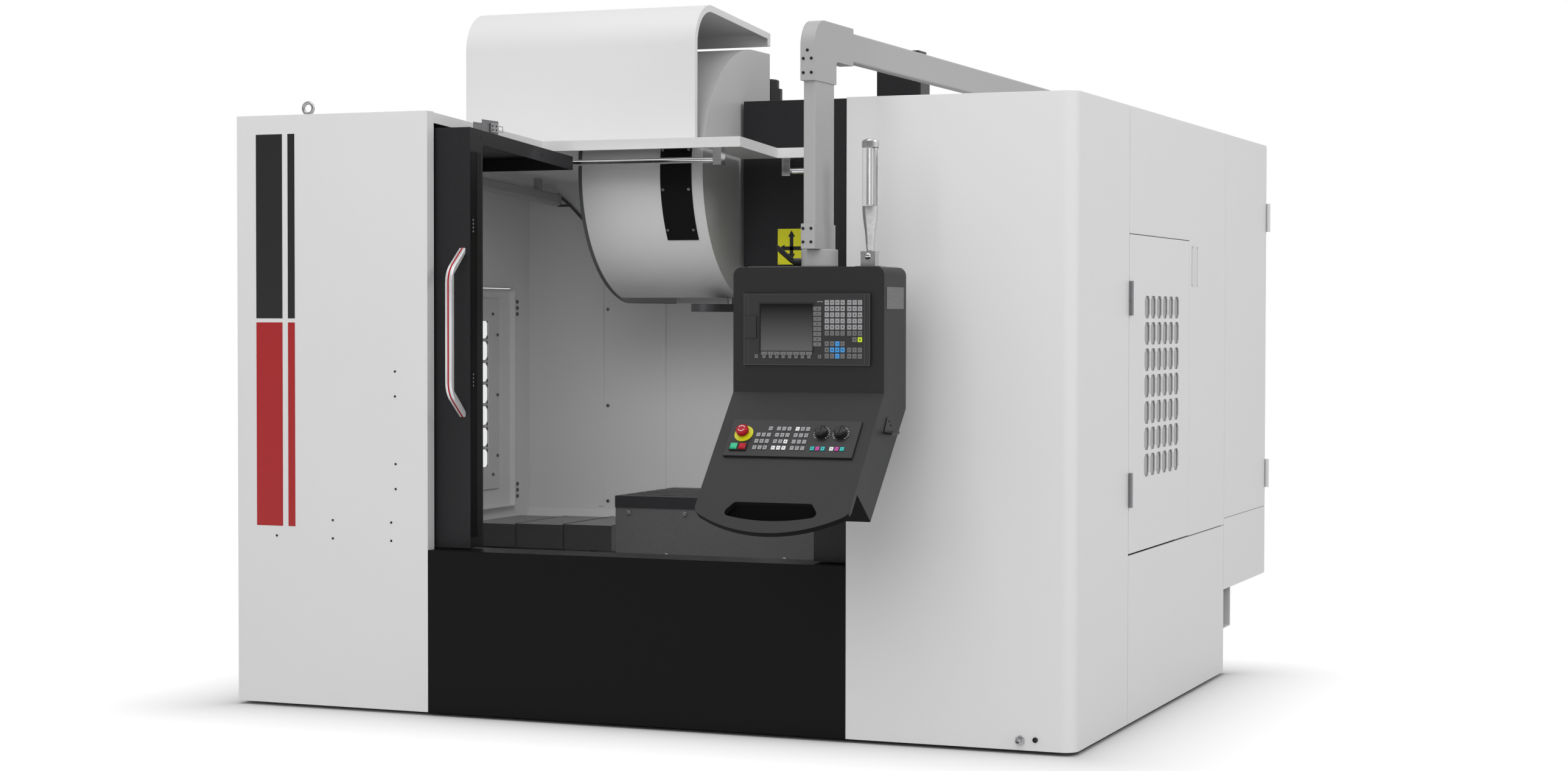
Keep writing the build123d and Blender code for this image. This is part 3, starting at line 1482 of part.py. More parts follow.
right_hinge_shares = (hinge_low_share, hinge_high_share)
left_hinge_shares = (left_hinge_low_share, left_hinge_high_share)
right_window_bottom = side_door_bottom + side_window_rise
left_window_bottom = left_side_door_bottom + left_window_rise
pieces = {
    "base_casting": base_casting(),
    "levelling_pads": levelling_pads(),
    "column": column(),
    "linear_rails": linear_rails(),
    "drive_motors": group(axis_motors(), changer_motor()),
    "saddle": saddle(),
    "x_drive": x_drive(),
    "fixed_way_covers": fixed_way_cover(),
    "inner_way_covers": way_cover(1),
    "outer_way_covers": way_cover(2),
    "table": table(),
    "table_guards": table_guards(),
    "head_casting": head_casting(),
    "head_cover": head_cover(),
    "spindle": spindle(),
    "magazine_cover": magazine_cover(),
    "magazine_access_cover": magazine_access_cover(),
    "tool_carousel": tool_carousel(),
    "changer_housing": changer_housing(),
    "changer_quill": changer_quill(),
    "changer_arm": changer_arm(),
    "magazine_hood": magazine_hood(),
    "left_front_panel": left_front_panel(),
    "right_front_panel": right_front_panel(),
    "front_lower_panel": front_lower_panel(),
    "left_side_wall": left_side_wall(),
    "right_side_wall": right_side_wall(),
    "top_covers": top_covers(),
    "roof_panel": roof_panel(),
    "inner_guard": inner_guard(),
    "left_side_door": flip(side_door(left_door_front, left_side_door_bottom, left_side_door_height, left_window_rise,
                                     left_hinge_shares, False)),
    "left_side_window": flip(side_window(left_door_front, left_window_bottom, False)),
    "right_side_door": side_door(right_side_door_front, side_door_bottom, side_door_height, side_window_rise,
                                 right_hinge_shares, True),
    "right_side_window": side_window(right_side_door_front, right_window_bottom, True),
    "left_door": flip(sliding_door(left_door_reach)),
    "left_door_window": flip(door_window()),
    "left_handle": flip(door_handle()),
    "right_door": sliding_door(right_door_reach),
    "right_door_window": door_window(),
    "right_handle": door_handle(),
    "guide_rods": group(flip(guide_rod(left_door_reach, rod_inner_end)), guide_rod(right_door_reach, rod_inner_end)),
    "electrical_cabinet": electrical_cabinet(),
    "cabinet_door": cabinet_door(),
    "eye_bolts": eye_bolts(),
    "work_light": work_light(),
    "arm_pivot": arm_pivot(),
    "console_arm": console_arm(),
    "console_collar": console_collar(),
    "console_housing": console_housing(),
    "control_unit": control_unit(),
    "screen": screen(),
    "panel_keys": panel_keys(),
    "operator_panel": operator_panel(),
    "estop_button": estop_button(),
    "start_button": push_button(start_u),
    "stop_button": push_button(stop_u),
    "feed_knob": override_knob(feed_knob_u),
    "spindle_knob": override_knob(spindle_knob_u),
    "lamp_stem": lamp_stem(),
    "lamp_tube": lamp_tube(),
}

# The origin goes under the middle of the whole machine, console included.
front_y = console_front + desk_run
middle_y = (front_y + cabinet_rear) / 2
os.makedirs("parts", exist_ok=True)
for name, piece in pieces.items():
    export_step(Pos(0, -middle_y, 0) * piece, f"parts/{name}.step")
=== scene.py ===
import json
import math

import bpy
from mathutils import Matrix, Vector

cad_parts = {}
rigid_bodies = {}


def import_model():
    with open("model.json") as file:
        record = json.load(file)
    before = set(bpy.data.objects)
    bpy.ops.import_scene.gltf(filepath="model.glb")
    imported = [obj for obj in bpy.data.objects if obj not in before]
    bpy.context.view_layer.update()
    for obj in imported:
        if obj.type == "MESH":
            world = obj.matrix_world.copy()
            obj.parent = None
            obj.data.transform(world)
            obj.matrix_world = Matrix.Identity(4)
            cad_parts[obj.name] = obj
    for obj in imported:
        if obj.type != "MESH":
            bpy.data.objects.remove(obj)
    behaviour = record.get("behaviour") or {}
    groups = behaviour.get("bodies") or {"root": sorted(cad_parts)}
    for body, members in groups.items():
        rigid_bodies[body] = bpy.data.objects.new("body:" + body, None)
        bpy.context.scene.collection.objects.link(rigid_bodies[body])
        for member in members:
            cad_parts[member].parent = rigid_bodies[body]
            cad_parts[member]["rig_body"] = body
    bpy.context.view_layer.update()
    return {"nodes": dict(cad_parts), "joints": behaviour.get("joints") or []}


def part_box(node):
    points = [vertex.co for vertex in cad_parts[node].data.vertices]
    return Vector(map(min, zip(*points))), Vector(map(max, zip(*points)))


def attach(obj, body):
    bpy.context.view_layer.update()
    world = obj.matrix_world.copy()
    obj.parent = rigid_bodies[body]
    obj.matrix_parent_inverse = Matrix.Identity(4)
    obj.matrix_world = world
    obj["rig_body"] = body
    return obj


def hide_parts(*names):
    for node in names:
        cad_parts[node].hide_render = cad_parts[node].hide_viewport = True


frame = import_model()

bl_info = {
    "name": "Machining centre dresser",
    "version": (1, 0, 0),
    "blender": (4, 5, 0),
    "location": "View3D > Sidebar > Machine",
    "description": "Dresses an enclosed vertical machining centre with paint, trim and controls",
    "category": "Object",
}

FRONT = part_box("left_front_panel")[0].y
ROOT = "machine_frame"
CONSOLE = "console_unit"
FORWARD, RIGHT, UP = Vector((0, -1, 0)), Vector((1, 0, 0)), Vector((0, 0, 1))
SMOOTH_ANGLE = math.radians(35)
FLAT_ANGLE = math.radians(0.4)
MERGE = 0.00002
FACING = 0.99


# Plain helpers


def at(x, y, z):
    """A point in metres, with y counted back from the front panels."""
    return Vector((x, FRONT + y, z))


def clear_selection():
    """Leaves nothing selected and no piece in edit mode."""
    if bpy.context.object and bpy.context.object.mode != "OBJECT":
        bpy.ops.object.mode_set(mode="OBJECT")
    bpy.ops.object.select_all(action="DESELECT")


def choose(*pieces):
    """Selects pieces alone, with the first one active."""
    clear_selection()
    for piece in pieces:
        piece.select_set(True)
    bpy.context.view_layer.objects.active = pieces[0]


def settle():
    """Puts the place of the selected pieces into their meshes."""
    bpy.ops.object.transform_apply(location=True, rotation=True, scale=True)


def take(name, scale=(1, 1, 1)):
    """Names the primitive that was just added and settles it."""
    piece = bpy.context.object
    piece.name = name
    piece.scale = scale
    choose(piece)
    settle()
    return piece


def start_block(name, center, size, turn=(0, 0, 0)):
    """A block round a centre, to be shaped further."""
    clear_selection()
    bpy.ops.mesh.primitive_cube_add(size=1, location=center, rotation=turn)
    return take(name, size)


def start_box(name, low, high):
    """A block between two corners, to be shaped further."""
    low, high = Vector(low), Vector(high)
    return start_block(name, (low + high) / 2, high - low)


def start_disc(name, center, axis, radius, depth, sides):
    """A round blank whose middle is at center, with its ends facing along axis."""
    clear_selection()
    turn = UP.rotation_difference(Vector(axis)).to_euler()
    bpy.ops.mesh.primitive_cylinder_add(
        vertices=sides, radius=radius, depth=depth, location=center, rotation=turn)
    return take(name)


def pick(piece, test):
    """Selects the faces whose centre and normal pass a test, and stays in edit mode."""
    choose(piece)
    bpy.ops.object.mode_set(mode="EDIT")
    bpy.ops.mesh.select_mode(type="FACE")
    bpy.ops.mesh.select_all(action="DESELECT")
    bpy.ops.object.mode_set(mode="OBJECT")
    for face in piece.data.polygons:
        face.select = test(face.center, face.normal)
    bpy.ops.object.mode_set(mode="EDIT")


def pick_facing(piece, axis):
    """Selects the faces that look along an axis, and stays in edit mode."""
    axis = Vector(axis).normalized()
    pick(piece, lambda center, normal: normal.dot(axis) > FACING)


def push(offset):
    """Extrudes the selected faces by an offset."""
    bpy.ops.mesh.extrude_region_move(TRANSFORM_OT_translate={"value": offset})


def leave(piece):
    """Back to object mode."""
    bpy.ops.object.mode_set(mode="OBJECT")
    return piece


def sink(piece, axis, inset, depth):
    """Insets the face that looks along axis and pushes its middle in."""
    pick_facing(piece, axis)
    bpy.ops.mesh.inset(thickness=inset)
    push(-Vector(axis).normalized() * depth)
    return leave(piece)


def modify(piece, kind, **values):
    """Adds a modifier with its values and applies it."""
    choose(piece)
    modifier = piece.modifiers.new(kind, kind)
    for name, value in values.items():
        setattr(modifier, name, value)
    bpy.ops.object.modifier_apply(modifier=modifier.name)
    return piece


def round_edges(piece, width, segments=2):
    """Rounds the piece's sharp edges with an applied bevel."""
    return modify(piece, "BEVEL", width=width, segments=segments, limit_method="ANGLE",
                  angle_limit=SMOOTH_ANGLE)


def dress(piece, paint, body, edge=0.0, segments=2):
    """Finishes a piece: rounded edges, smooth shading, paint, and the body it rides on."""
    if edge:
        round_edges(piece, edge, segments)
    choose(piece)
    bpy.ops.object.shade_smooth_by_angle(angle=SMOOTH_ANGLE)
    if edge:
        modify(piece, "WEIGHTED_NORMAL", keep_sharp=True)
    piece.data.materials.clear()
    piece.data.materials.append(paints[paint])
    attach(piece, body)
    return piece


def paint_faces(piece, paint, test):
    """Gives the faces that pass a test a second paint."""
    piece.data.materials.append(paints[paint])
    for face in piece.data.polygons:
        face.material_index = int(test(face))


def row_named(rows, key, name):
    """The row of the record that has a name under a key."""
    for row in rows:
        if row[key] == name:
            return row
    raise RuntimeError("no row is named " + name)


def body_of(node):
    """The body that carries a node."""
    return frame["nodes"][node]["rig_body"]


def joint_place(name):
    """Where a joint's axis stands."""
    return Vector(row_named(frame["joints"], "name", name)["pos_m"])


def merged_copy(node, name):
    """A copy of a node with its seams merged, in edit mode with all of it selected."""
    piece = bpy.data.objects.new(name, frame["nodes"][node].data.copy())
    bpy.context.scene.collection.objects.link(piece)
    choose(piece)
    if piece.data.has_custom_normals:
        bpy.ops.mesh.customdata_custom_splitnormals_clear()
    bpy.ops.object.mode_set(mode="EDIT")
    bpy.ops.mesh.select_all(action="SELECT")
    bpy.ops.mesh.remove_doubles(threshold=MERGE)
    return piece


def soften(node, paint, edge, segments=2):
    """A merged copy of a node with its edges rounded, which stands for the node."""
    piece = merged_copy(node, node + "_skin")
    bpy.ops.mesh.dissolve_limited(angle_limit=FLAT_ANGLE)
    dress(leave(piece), paint, body_of(node), edge, segments)
    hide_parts(node)
    return piece


def joined(pieces, name):
    """Several loose pieces made one."""
    choose(*pieces)
    bpy.ops.object.join()
    pieces[0].name = name
    return pieces[0]


def copies(piece, places):
    """Copies of a piece moved from the first place to each other one, joined into it."""
    made = [piece]
    for place in places[1:]:
        twin = bpy.data.objects.new(piece.name + "_copy", piece.data.copy())
        bpy.context.scene.collection.objects.link(twin)
        twin.location = Vector(place) - Vector(places[0])
        made.append(twin)
    choose(*made)
    settle()
    return joined(made, piece.name)


def cap_screws(name, places, axis, radius, height, paint, body, sides=20):
    """Socket-head screws that stand on a face at the given places."""
    axis = Vector(axis).normalized()
    middle = Vector(places[0]) + axis * height / 2
    screw = start_disc(name, middle, axis, radius, height, sides)
    sink(screw, axis, radius * 0.45, height * 0.55)
    round_edges(screw, radius * 0.12)
    return dress(copies(screw, places), paint, body)


def open_frame(piece, axis, width):
    """Opens a block along axis, so that it becomes a frame with bars of one width."""
    pick(piece, lambda center, normal: abs(normal.dot(axis)) > FACING)
    bpy.ops.mesh.inset(thickness=width)
    bpy.ops.mesh.delete(type="FACE")
    bpy.ops.mesh.select_mode(type="EDGE")
    bpy.ops.mesh.select_non_manifold()
    bpy.ops.mesh.bridge_edge_loops()
    bpy.ops.mesh.select_all(action="SELECT")
    bpy.ops.mesh.normals_make_consistent(inside=False)
    return leave(piece)


def ring_frame(name, low, high, axis, width):
    """A flat rectangular frame between two corners, open along axis."""
    return open_frame(start_box(name, low, high), axis, width)


def islands(mesh):
    """The faces of each loose part of a mesh."""
    parent = list(range(len(mesh.vertices)))

    def root(vertex):
        while parent[vertex] != vertex:
            parent[vertex] = parent[parent[vertex]]
            vertex = parent[vertex]
        return vertex

    for edge in mesh.edges:
        first, second = root(edge.vertices[0]), root(edge.vertices[1])
        parent[first] = second
    parts = {}
    for face in mesh.polygons:
        parts.setdefault(root(face.vertices[0]), []).append(face)
    return list(parts.values())


# The console's desk: u to the side, v down the slope, height off the plate

DESK_UP = -Vector(row_named(frame["joints"], "name", "estop_press")["axis"]).normalized()
DESK_DOWN = RIGHT.cross(DESK_UP)
DESK_TURN = (math.atan2(-DESK_UP.y, DESK_UP.z), 0, 0)
KNOB_U, SECOND_KNOB_U, KNOB_V, PANEL_H = 0.097, 0.1625, 0.1765, 0.008
STOP_U, STOP_V = -0.172, 0.184
DESK_KNOB = joint_place("feed_knob_turn")
DESK_X = DESK_KNOB.x - KNOB_U


def on_desk(u, v, height):
    """A point over the desk."""
    across = Vector((u - KNOB_U, 0, 0))
    return DESK_KNOB + across + DESK_DOWN * (v - KNOB_V) + DESK_UP * (height - PANEL_H)


def desk_place(point):
    """Where a point lies on the desk, as (u, v)."""
    return point.x - DESK_X, KNOB_V + (point - DESK_KNOB).dot(DESK_DOWN)


# Paints

paints = {}


def new_paint(key, name, color, roughness, metallic=0.0):
    """Keeps a new material with a plain shader under key; gives its node tree and shader."""
    paint = paints[key] = bpy.data.materials.new(name)
    paint.use_nodes = True
    shader = paint.node_tree.nodes["Principled BSDF"]
    shader.inputs["Base Color"].default_value = (*color, 1)
    shader.inputs["Roughness"].default_value = roughness
    shader.inputs["Metallic"].default_value = metallic
    return paint.node_tree, shader


def join(tree, value, socket):
    """Links a socket, or sets a number or colour."""
    if isinstance(value, bpy.types.NodeSocket):
        tree.links.new(value, socket)
    else:
        socket.default_value = value


def noise(tree, vector, **values):
    """A noise texture over a vector, with its inputs linked or set."""
    node = tree.nodes.new("ShaderNodeTexNoise")
    tree.links.new(vector, node.inputs["Vector"])
    for label, value in values.items():
        join(tree, value, node.inputs[label])
    return node.outputs["Fac"]


def object_place(tree):
    """The place on the object, in metres."""
    return tree.nodes.new("ShaderNodeTexCoord").outputs["Object"]


def split(tree, vector):
    """The X, Y and Z of a vector."""
    node = tree.nodes.new("ShaderNodeSeparateXYZ")
    tree.links.new(vector, node.inputs[0])
    return node.outputs


def sum_of(tree, operation, first, second=0.0):
    """A Math node on two sockets or numbers."""
    node = tree.nodes.new("ShaderNodeMath")
    node.operation = operation
    join(tree, first, node.inputs[0])
    join(tree, second, node.inputs[1])
    return node.outputs[0]


def vector_math(tree, operation, first, second, socket):
    """A Vector Math node on a vector and a second value."""
    node = tree.nodes.new("ShaderNodeVectorMath")
    node.operation = operation
    join(tree, first, node.inputs[0])
    join(tree, second, node.inputs[socket])
    return node.outputs[0]


def span(tree, value, low, high, to_low, to_high):
    """A clamped map of a value from one range to another."""
    node = tree.nodes.new("ShaderNodeMapRange")
    for index, number in enumerate((value, low, high, to_low, to_high)):
        join(tree, number, node.inputs[index])
    return node.outputs[0]


def group_tree(name, *inputs):
    """A node group with named inputs, its outputs, and its two end nodes."""
    tree = bpy.data.node_groups.new(name, "ShaderNodeTree")
    for label, kind, value in inputs:
        socket = tree.interface.new_socket(label, in_out="INPUT", socket_type="NodeSocket" + kind)
        socket.default_value = value
    for label, kind in (("Color", "Color"), ("Roughness", "Float"), ("Height", "Float")):
        tree.interface.new_socket(label, in_out="OUTPUT", socket_type="NodeSocket" + kind)
    return tree, tree.nodes.new("NodeGroupInput").outputs, tree.nodes.new("NodeGroupOutput").inputs


def close_group(tree, start, end, tone, rough, height):
    """Puts out a group's colour times a tone, its roughness and its height."""
    color = vector_math(tree, "SCALE", start["Color"], tone, "Scale")
    for label, value in (("Color", color), ("Roughness", rough), ("Height", height)):
        tree.links.new(value, end[label])
    return tree


def powder_group():
    """Sprayed powder: fine grain, orange peel and a slow drift of tone."""
    tree, start, end = group_tree(
        "Powder coat", ("Color", "Color", (0.8, 0.8, 0.8, 1)), ("Roughness", "Float", 0.45),
        ("Grain", "Float", 900.0), ("Drift", "Float", 0.03), ("Speck", "Float", 0.1))
    where = object_place(tree)
    grain = noise(tree, where, Scale=start["Grain"], Detail=3.0, Roughness=0.6)
    slow = noise(tree, where, Scale=1.7, Detail=3.0)
    drift, speck = (
        sum_of(tree, "MULTIPLY", sum_of(tree, "SUBTRACT", field, 0.5), start[label])
        for field, label in ((slow, "Drift"), (grain, "Speck")))
    tone = sum_of(tree, "ADD", sum_of(tree, "ADD", 1.0, drift), speck)
    rough = sum_of(tree, "ADD", start["Roughness"], sum_of(tree, "MULTIPLY", drift, 2.0))
    return close_group(tree, start, end, tone, rough, grain)


def brushed_group():
    """Ground or brushed metal: long fine scratches along one axis and soft stains."""
    tree, start, end = group_tree(
        "Brushed metal", ("Color", "Color", (0.6, 0.6, 0.6, 1)), ("Roughness", "Float", 0.3),
        ("Stretch", "Vector", (4.0, 300.0, 300.0)))
    where = object_place(tree)
    along = vector_math(tree, "MULTIPLY", where, start["Stretch"], 1)
    lines = noise(tree, along, Scale=1.0, Detail=4.0, Roughness=0.65)
    stain = noise(tree, where, Scale=5.0, Detail=4.0)
    tone = sum_of(tree, "ADD", span(tree, lines, 0.25, 0.75, 0.86, 1.08),
                  span(tree, stain, 0.3, 0.7, -0.06, 0.04))
    rough = sum_of(tree, "ADD", start["Roughness"], span(tree, stain, 0.3, 0.7, -0.05, 0.08))
    return close_group(tree, start, end, tone, rough, lines)


def lay_coat(tree, shader, group, distance, strength, **values):
    """Feeds a node group's colour, roughness and height into the shader."""
    node = tree.nodes.new("ShaderNodeGroup")
    node.node_tree = group
    for label, value in values.items():
        node.inputs[label].default_value = value
    tree.links.new(node.outputs["Color"], shader.inputs["Base Color"])
    tree.links.new(node.outputs["Roughness"], shader.inputs["Roughness"])
    bump = tree.nodes.new("ShaderNodeBump")
    bump.inputs["Distance"].default_value = distance
    bump.inputs["Strength"].default_value = strength
    tree.links.new(node.outputs["Height"], bump.inputs["Height"])
    tree.links.new(bump.outputs["Normal"], shader.inputs["Normal"])


def powder_paint(group, key, name, color, roughness, grain=900.0, drift=0.03, bump=0.00015,
                 strength=0.25, shine=0.5, speck=0.1):
    """Powder-coated sheet metal, or moulded plastic."""
    tree, shader = new_paint(key, name, color, roughness)
    shader.inputs["Specular IOR Level"].default_value = shine
    lay_coat(tree, shader, group, bump, strength, Color=(*color, 1), Roughness=roughness,
             Grain=grain, Drift=drift, Speck=speck)


def metal_paint(group, key, name, color, roughness, stretch=(4.0, 300.0, 300.0), strength=0.08,
                metallic=1.0):
    """Bare metal with its grain along the axis that is stretched least."""
    tree, shader = new_paint(key, name, color, roughness, metallic)
    lay_coat(tree, shader, group, 0.0001, strength, Color=(*color, 1), Roughness=roughness,
             Stretch=stretch)


def clear_glass(key, name, color, roughness=0.02, transmission=1.0):
    """Plain clear glass."""
    shader = new_paint(key, name, color, roughness)[1]
    shader.inputs["Transmission Weight"].default_value = transmission
    shader.inputs["IOR"].default_value = 1.45


def screen_paint():
    """Dark screen whose colour pales towards its foot."""
    tree, shader = new_paint("screen", "Screen", (0.03, 0.03, 0.035), 0.3)
    shader.inputs["Specular IOR Level"].default_value = 0.2
    where = object_place(tree)
    low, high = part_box("screen")
    rise = span(tree, split(tree, where)["Z"], low.z, high.z, 0.0, 1.0)
    grain = noise(tree, where, Scale=1200.0, Detail=2.0)
    mix = tree.nodes.new("ShaderNodeMix")
    mix.data_type = "RGBA"
    level = sum_of(tree, "ADD", rise, span(tree, grain, 0.3, 0.7, -0.03, 0.03))
    tree.links.new(level, mix.inputs[0])
    mix.inputs[6].default_value = (0.13, 0.13, 0.132, 1)
    mix.inputs[7].default_value = (0.003, 0.003, 0.0035, 1)
    tree.links.new(mix.outputs[2], shader.inputs["Base Color"])


def mix_paints(colors):
    """Builds every paint once."""
    powder, brushed = powder_group(), brushed_group()
    for row in (
            ("white", "Enclosure powder coat", colors.enclosure, 0.42),
            ("inside", "Inner sheet paint", colors.inside, 0.5, 700.0, 0.05),
            # Painted shade: the magazine cover takes a grey that stands for the white coat in the
            # hood's shade
            ("magazine", "Magazine powder coat", colors.magazine, 0.42),
            ("arm", "Arm paint", colors.arm, 0.42, 800.0, 0.02),
            ("stripe_red", "Red vinyl stripe", colors.stripe, 0.35),
            ("stripe_black", "Black vinyl stripe", (0.012, 0.012, 0.013), 0.35),
            ("casting", "Casting paint", (0.52, 0.53, 0.53), 0.45, 260.0, 0.08, 0.0006, 0.3),
            ("black", "Lower panel paint", colors.lower_panel, 0.4, 600.0, 0.05, 0.0001, 0.15,
             0.12),
            ("red", "Red moulded plastic", (0.40, 0.005, 0.018), 0.4, 700.0, 0.05, 0.0001, 0.1,
             0.25),
            ("green", "Green moulded plastic", (0.01, 0.46, 0.22), 0.3, 700.0, 0.05, 0.0001, 0.1),
            ("yellow", "Yellow plate", (0.62, 0.60, 0.01), 0.38, 700.0, 0.04, 0.0001, 0.1),
            ("key_white", "Pale key plastic", (0.75, 0.76, 0.77), 0.42, 1200.0, 0.04),
            ("key_blue", "Blue key plastic", (0.06, 0.32, 0.72), 0.42, 1200.0, 0.04),
            ("key_lime", "Lime key plastic", (0.60, 0.80, 0.02), 0.42, 1200.0, 0.04),
            ("key_teal", "Teal key plastic", (0.01, 0.46, 0.44), 0.42, 1200.0, 0.04),
            ("key_violet", "Violet key plastic", (0.50, 0.05, 0.34), 0.42, 1200.0, 0.04)):
        powder_paint(powder, *row)
    # Textured paints
    for key, name, color, grain, bump, shine, speck in (
            ("anthracite", "Door textured paint", colors.doors, 600.0, 0.0005, 0.3, 2.2),
            ("console", "Console textured paint", colors.console, 600.0, 0.0005, 0.4, 2.2),
            ("apron", "Apron textured paint", (0.08, 0.08, 0.082), 650.0, 0.0006, 0.4, 2.0)):
        powder_paint(powder, key, name, color, 0.5, grain, 0.06, bump, 0.45, shine, speck)
    # Paints with little shine
    for key, name, color, roughness, grain, drift, shine in (
            # Near-black paint that stands in for shade: painted shade
            ("painted_shade", "Unlit hollow", (0.003, 0.003, 0.003), 0.7, 600.0, 0.05, 0.1),
            ("motor", "Motor paint", (0.022, 0.022, 0.024), 0.42, 900.0, 0.05, 0.3),
            ("rubber", "Black rubber", (0.016, 0.016, 0.016), 0.62, 500.0, 0.06, 0.2),
            ("plastic", "Black plastic", (0.014, 0.014, 0.015), 0.42, 1500.0, 0.04, 0.35),
            ("panel", "Operator panel film", (0.022, 0.022, 0.024), 0.42, 1500.0, 0.04, 0.35),
            ("unit_edge", "Control unit edge", (0.075, 0.076, 0.08), 0.4, 900.0, 0.03, 0.4),
            ("keys", "Key plastic", (0.33, 0.33, 0.34), 0.45, 1200.0, 0.05, 0.3),
            ("key_dark", "Dark key plastic", (0.16, 0.16, 0.165), 0.45, 1200.0, 0.05, 0.3)):
        powder_paint(powder, key, name, color, roughness, grain, drift, shine=shine)
    powder_paint(powder, "unit", "Control unit plastic", (0.028, 0.028, 0.029), 0.42, shine=0.4,
                 speck=0.3)
    for row in (
            ("steel", "Ground steel", (0.56, 0.56, 0.57), 0.28),
            ("screw", "Screw steel", (0.3, 0.3, 0.31), 0.35, (120.0, 120.0, 120.0)),
            ("dark_screw", "Blackened screw", (0.05, 0.05, 0.052), 0.4, (120.0, 120.0, 120.0)),
            ("lacquer", "Silver lacquer", (0.62, 0.62, 0.625), 0.28, (60.0, 60.0, 60.0), 0.05),
            ("chrome", "Polished rod", (0.8, 0.8, 0.81), 0.12, (5.0, 200.0, 200.0), 0.03),
            ("alloy", "Brushed alloy", (0.78, 0.78, 0.79), 0.2, (200.0, 200.0, 6.0), 0.05),
            ("handle", "Satin handle", (0.85, 0.85, 0.86), 0.3, (200.0, 200.0, 6.0), 0.05, 0.4),
            ("iron", "Ground cast iron", (0.11, 0.11, 0.115), 0.5, (8.0, 220.0, 220.0), 0.2, 0.7),
            # Dark cover steel for the covers' fronts and sides, and a paler copy for their tops:
            # painted light from above
            ("cover", "Rolled cover steel", (0.06, 0.06, 0.062), 0.4, (6.0, 260.0, 260.0), 0.12,
             0.5),
            ("cover_top", "Worn cover steel", (0.3, 0.3, 0.305), 0.45, (6.0, 260.0, 260.0), 0.12,
             0.35),
            ("plate", "Bare plate", (0.2, 0.2, 0.203), 0.45, (150.0, 6.0, 150.0), 0.1, 0.6)):
        metal_paint(brushed, *row)
    clear_glass("glass", "Window glass", (0.93, 0.94, 0.94))
    # Darker copy of the window glass for the right side window: painted shade of the dim chamber
    # seen through it
    clear_glass("shaded_glass", "Side window glass with painted shade", (0.5, 0.5, 0.5))
    clear_glass("lamp", "Lamp tube", (0.92, 0.92, 0.92), 0.08, 0.9)
    screen_paint()


# Sizes and colours that a user would change


def color_setting(name, description, *default):
    """A colour in the panel."""
    return bpy.props.FloatVectorProperty(
        name=name, description=description, subtype="COLOR", default=default)


def size_setting(name, description, default, unit="LENGTH"):
    """A size in the panel."""
    return bpy.props.FloatProperty(name=name, description=description, unit=unit, default=default)


class MachineColors(bpy.types.PropertyGroup):
    """Colours of the machine's paints."""

    enclosure: color_setting("Enclosure", "Powder coat of the outer sheets", 0.80, 0.80, 0.80)
    inside: color_setting("Inside", "Paint of the chamber walls", 0.72, 0.72, 0.72)
    # Painted shade: this grey stands for the white coat in the hood's shade
    magazine: color_setting("Magazine", "Grey of the magazine's cover, painted shade on the white coat", 0.52, 0.52, 0.52)
    doors: color_setting("Doors", "Textured paint of the sliding doors", 0.016, 0.016, 0.018)
    console: color_setting("Console", "Textured paint of the console", 0.014, 0.014, 0.015)
    lower_panel: color_setting("Lower panel", "Paint under the doorway", 0.006, 0.006, 0.006)
    arm: color_setting("Console arm", "Paint of the boom and post", 0.40, 0.40, 0.40)
    stripe: color_setting("Stripe", "Lower half of the panel stripe", 0.42, 0.012, 0.015)


class MachineSizes(bpy.types.PropertyGroup):
    """Sizes of the machine's trim."""

    sheet_edge: size_setting("Sheet edge", "Rounding of folded sheet edges", 0.0016)
    stripe_width: size_setting("Stripe width", "Width of the stripe on the left panel", 0.17)
    floor_reach: size_setting("Floor reach", "Half length of the floor", 40.0)
    lens: size_setting("Lens", "Focal length of the camera", 61.18, "CAMERA")


def sizes():
    """The machine's sizes in this scene."""
    return bpy.context.scene.machine_sizes


# Pieces


class MACHINE_OT_paints(bpy.types.Operator):
    """Mixes the paints that the pieces share"""

    bl_idname = "machine.paints"
    bl_label = "Mix the paints"

    def execute(self, context):
        mix_paints(context.scene.machine_colors)
        return {"FINISHED"}


class MACHINE_OT_structure(bpy.types.Operator):
    """Dresses the bed, column, rails and drives"""

    bl_idname = "machine.structure"
    bl_label = "Bed, column and drives"

    def execute(self, context):
        soften("base_casting", "casting", 0.004)
        soften("column", "casting", 0.004)
        soften("levelling_pads", "iron", 0.002)
        soften("linear_rails", "steel", 0.001)
        soften("drive_motors", "motor", 0.001)
        soften("saddle", "iron", 0.002)
        soften("x_drive", "iron", 0.001)
        soften("inner_guard", "inside", 0.001)
        return {"FINISHED"}


class MACHINE_OT_enclosure(bpy.types.Operator):
    """Dresses the outer sheets, roof and cabinet"""

    bl_idname = "machine.enclosure"
    bl_label = "Outer sheets"

    def execute(self, context):
        edge = sizes().sheet_edge
        for node in ("left_front_panel", "right_front_panel", "left_side_wall", "right_side_wall",
                     "top_covers", "roof_panel", "electrical_cabinet", "cabinet_door",
                     "magazine_hood", "left_side_door", "right_side_door"):
            soften(node, "white", edge)
        # Painted shade: the magazine cover's grey paint stands for the hood's shade
        soften("magazine_cover", "magazine", edge)
        soften("front_lower_panel", "black", edge)
        soften("left_side_window", "glass", 0.0008)
        # Painted shade: the right window's glass is darker than the left one's
        soften("right_side_window", "shaded_glass", 0.0008)
        soften("eye_bolts", "steel", 0.0)
        self.door_hinges()
        self.work_light()
        return {"FINISHED"}

    def door_hinges(self):
        """Bare metal wherever the side doors' hinges stand proud of the walls."""
        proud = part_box("right_front_panel")[1].x + 0.002
        for node, side in (("left_side_door", -1), ("right_side_door", 1)):
            paint_faces(bpy.data.objects[node + "_skin"], "screw",
                        lambda face: face.center.x * side > proud)

    def work_light(self):
        """Grey lamp housing with a dark fork and a dark rear end."""
        lamp = soften("work_light", "arm", 0.001)
        low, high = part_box("work_light")
        rear, fork = high.y - 0.056, low.x + 0.06
        paint_faces(lamp, "unit_edge", lambda face: face.center.y > rear or face.center.x > fork)


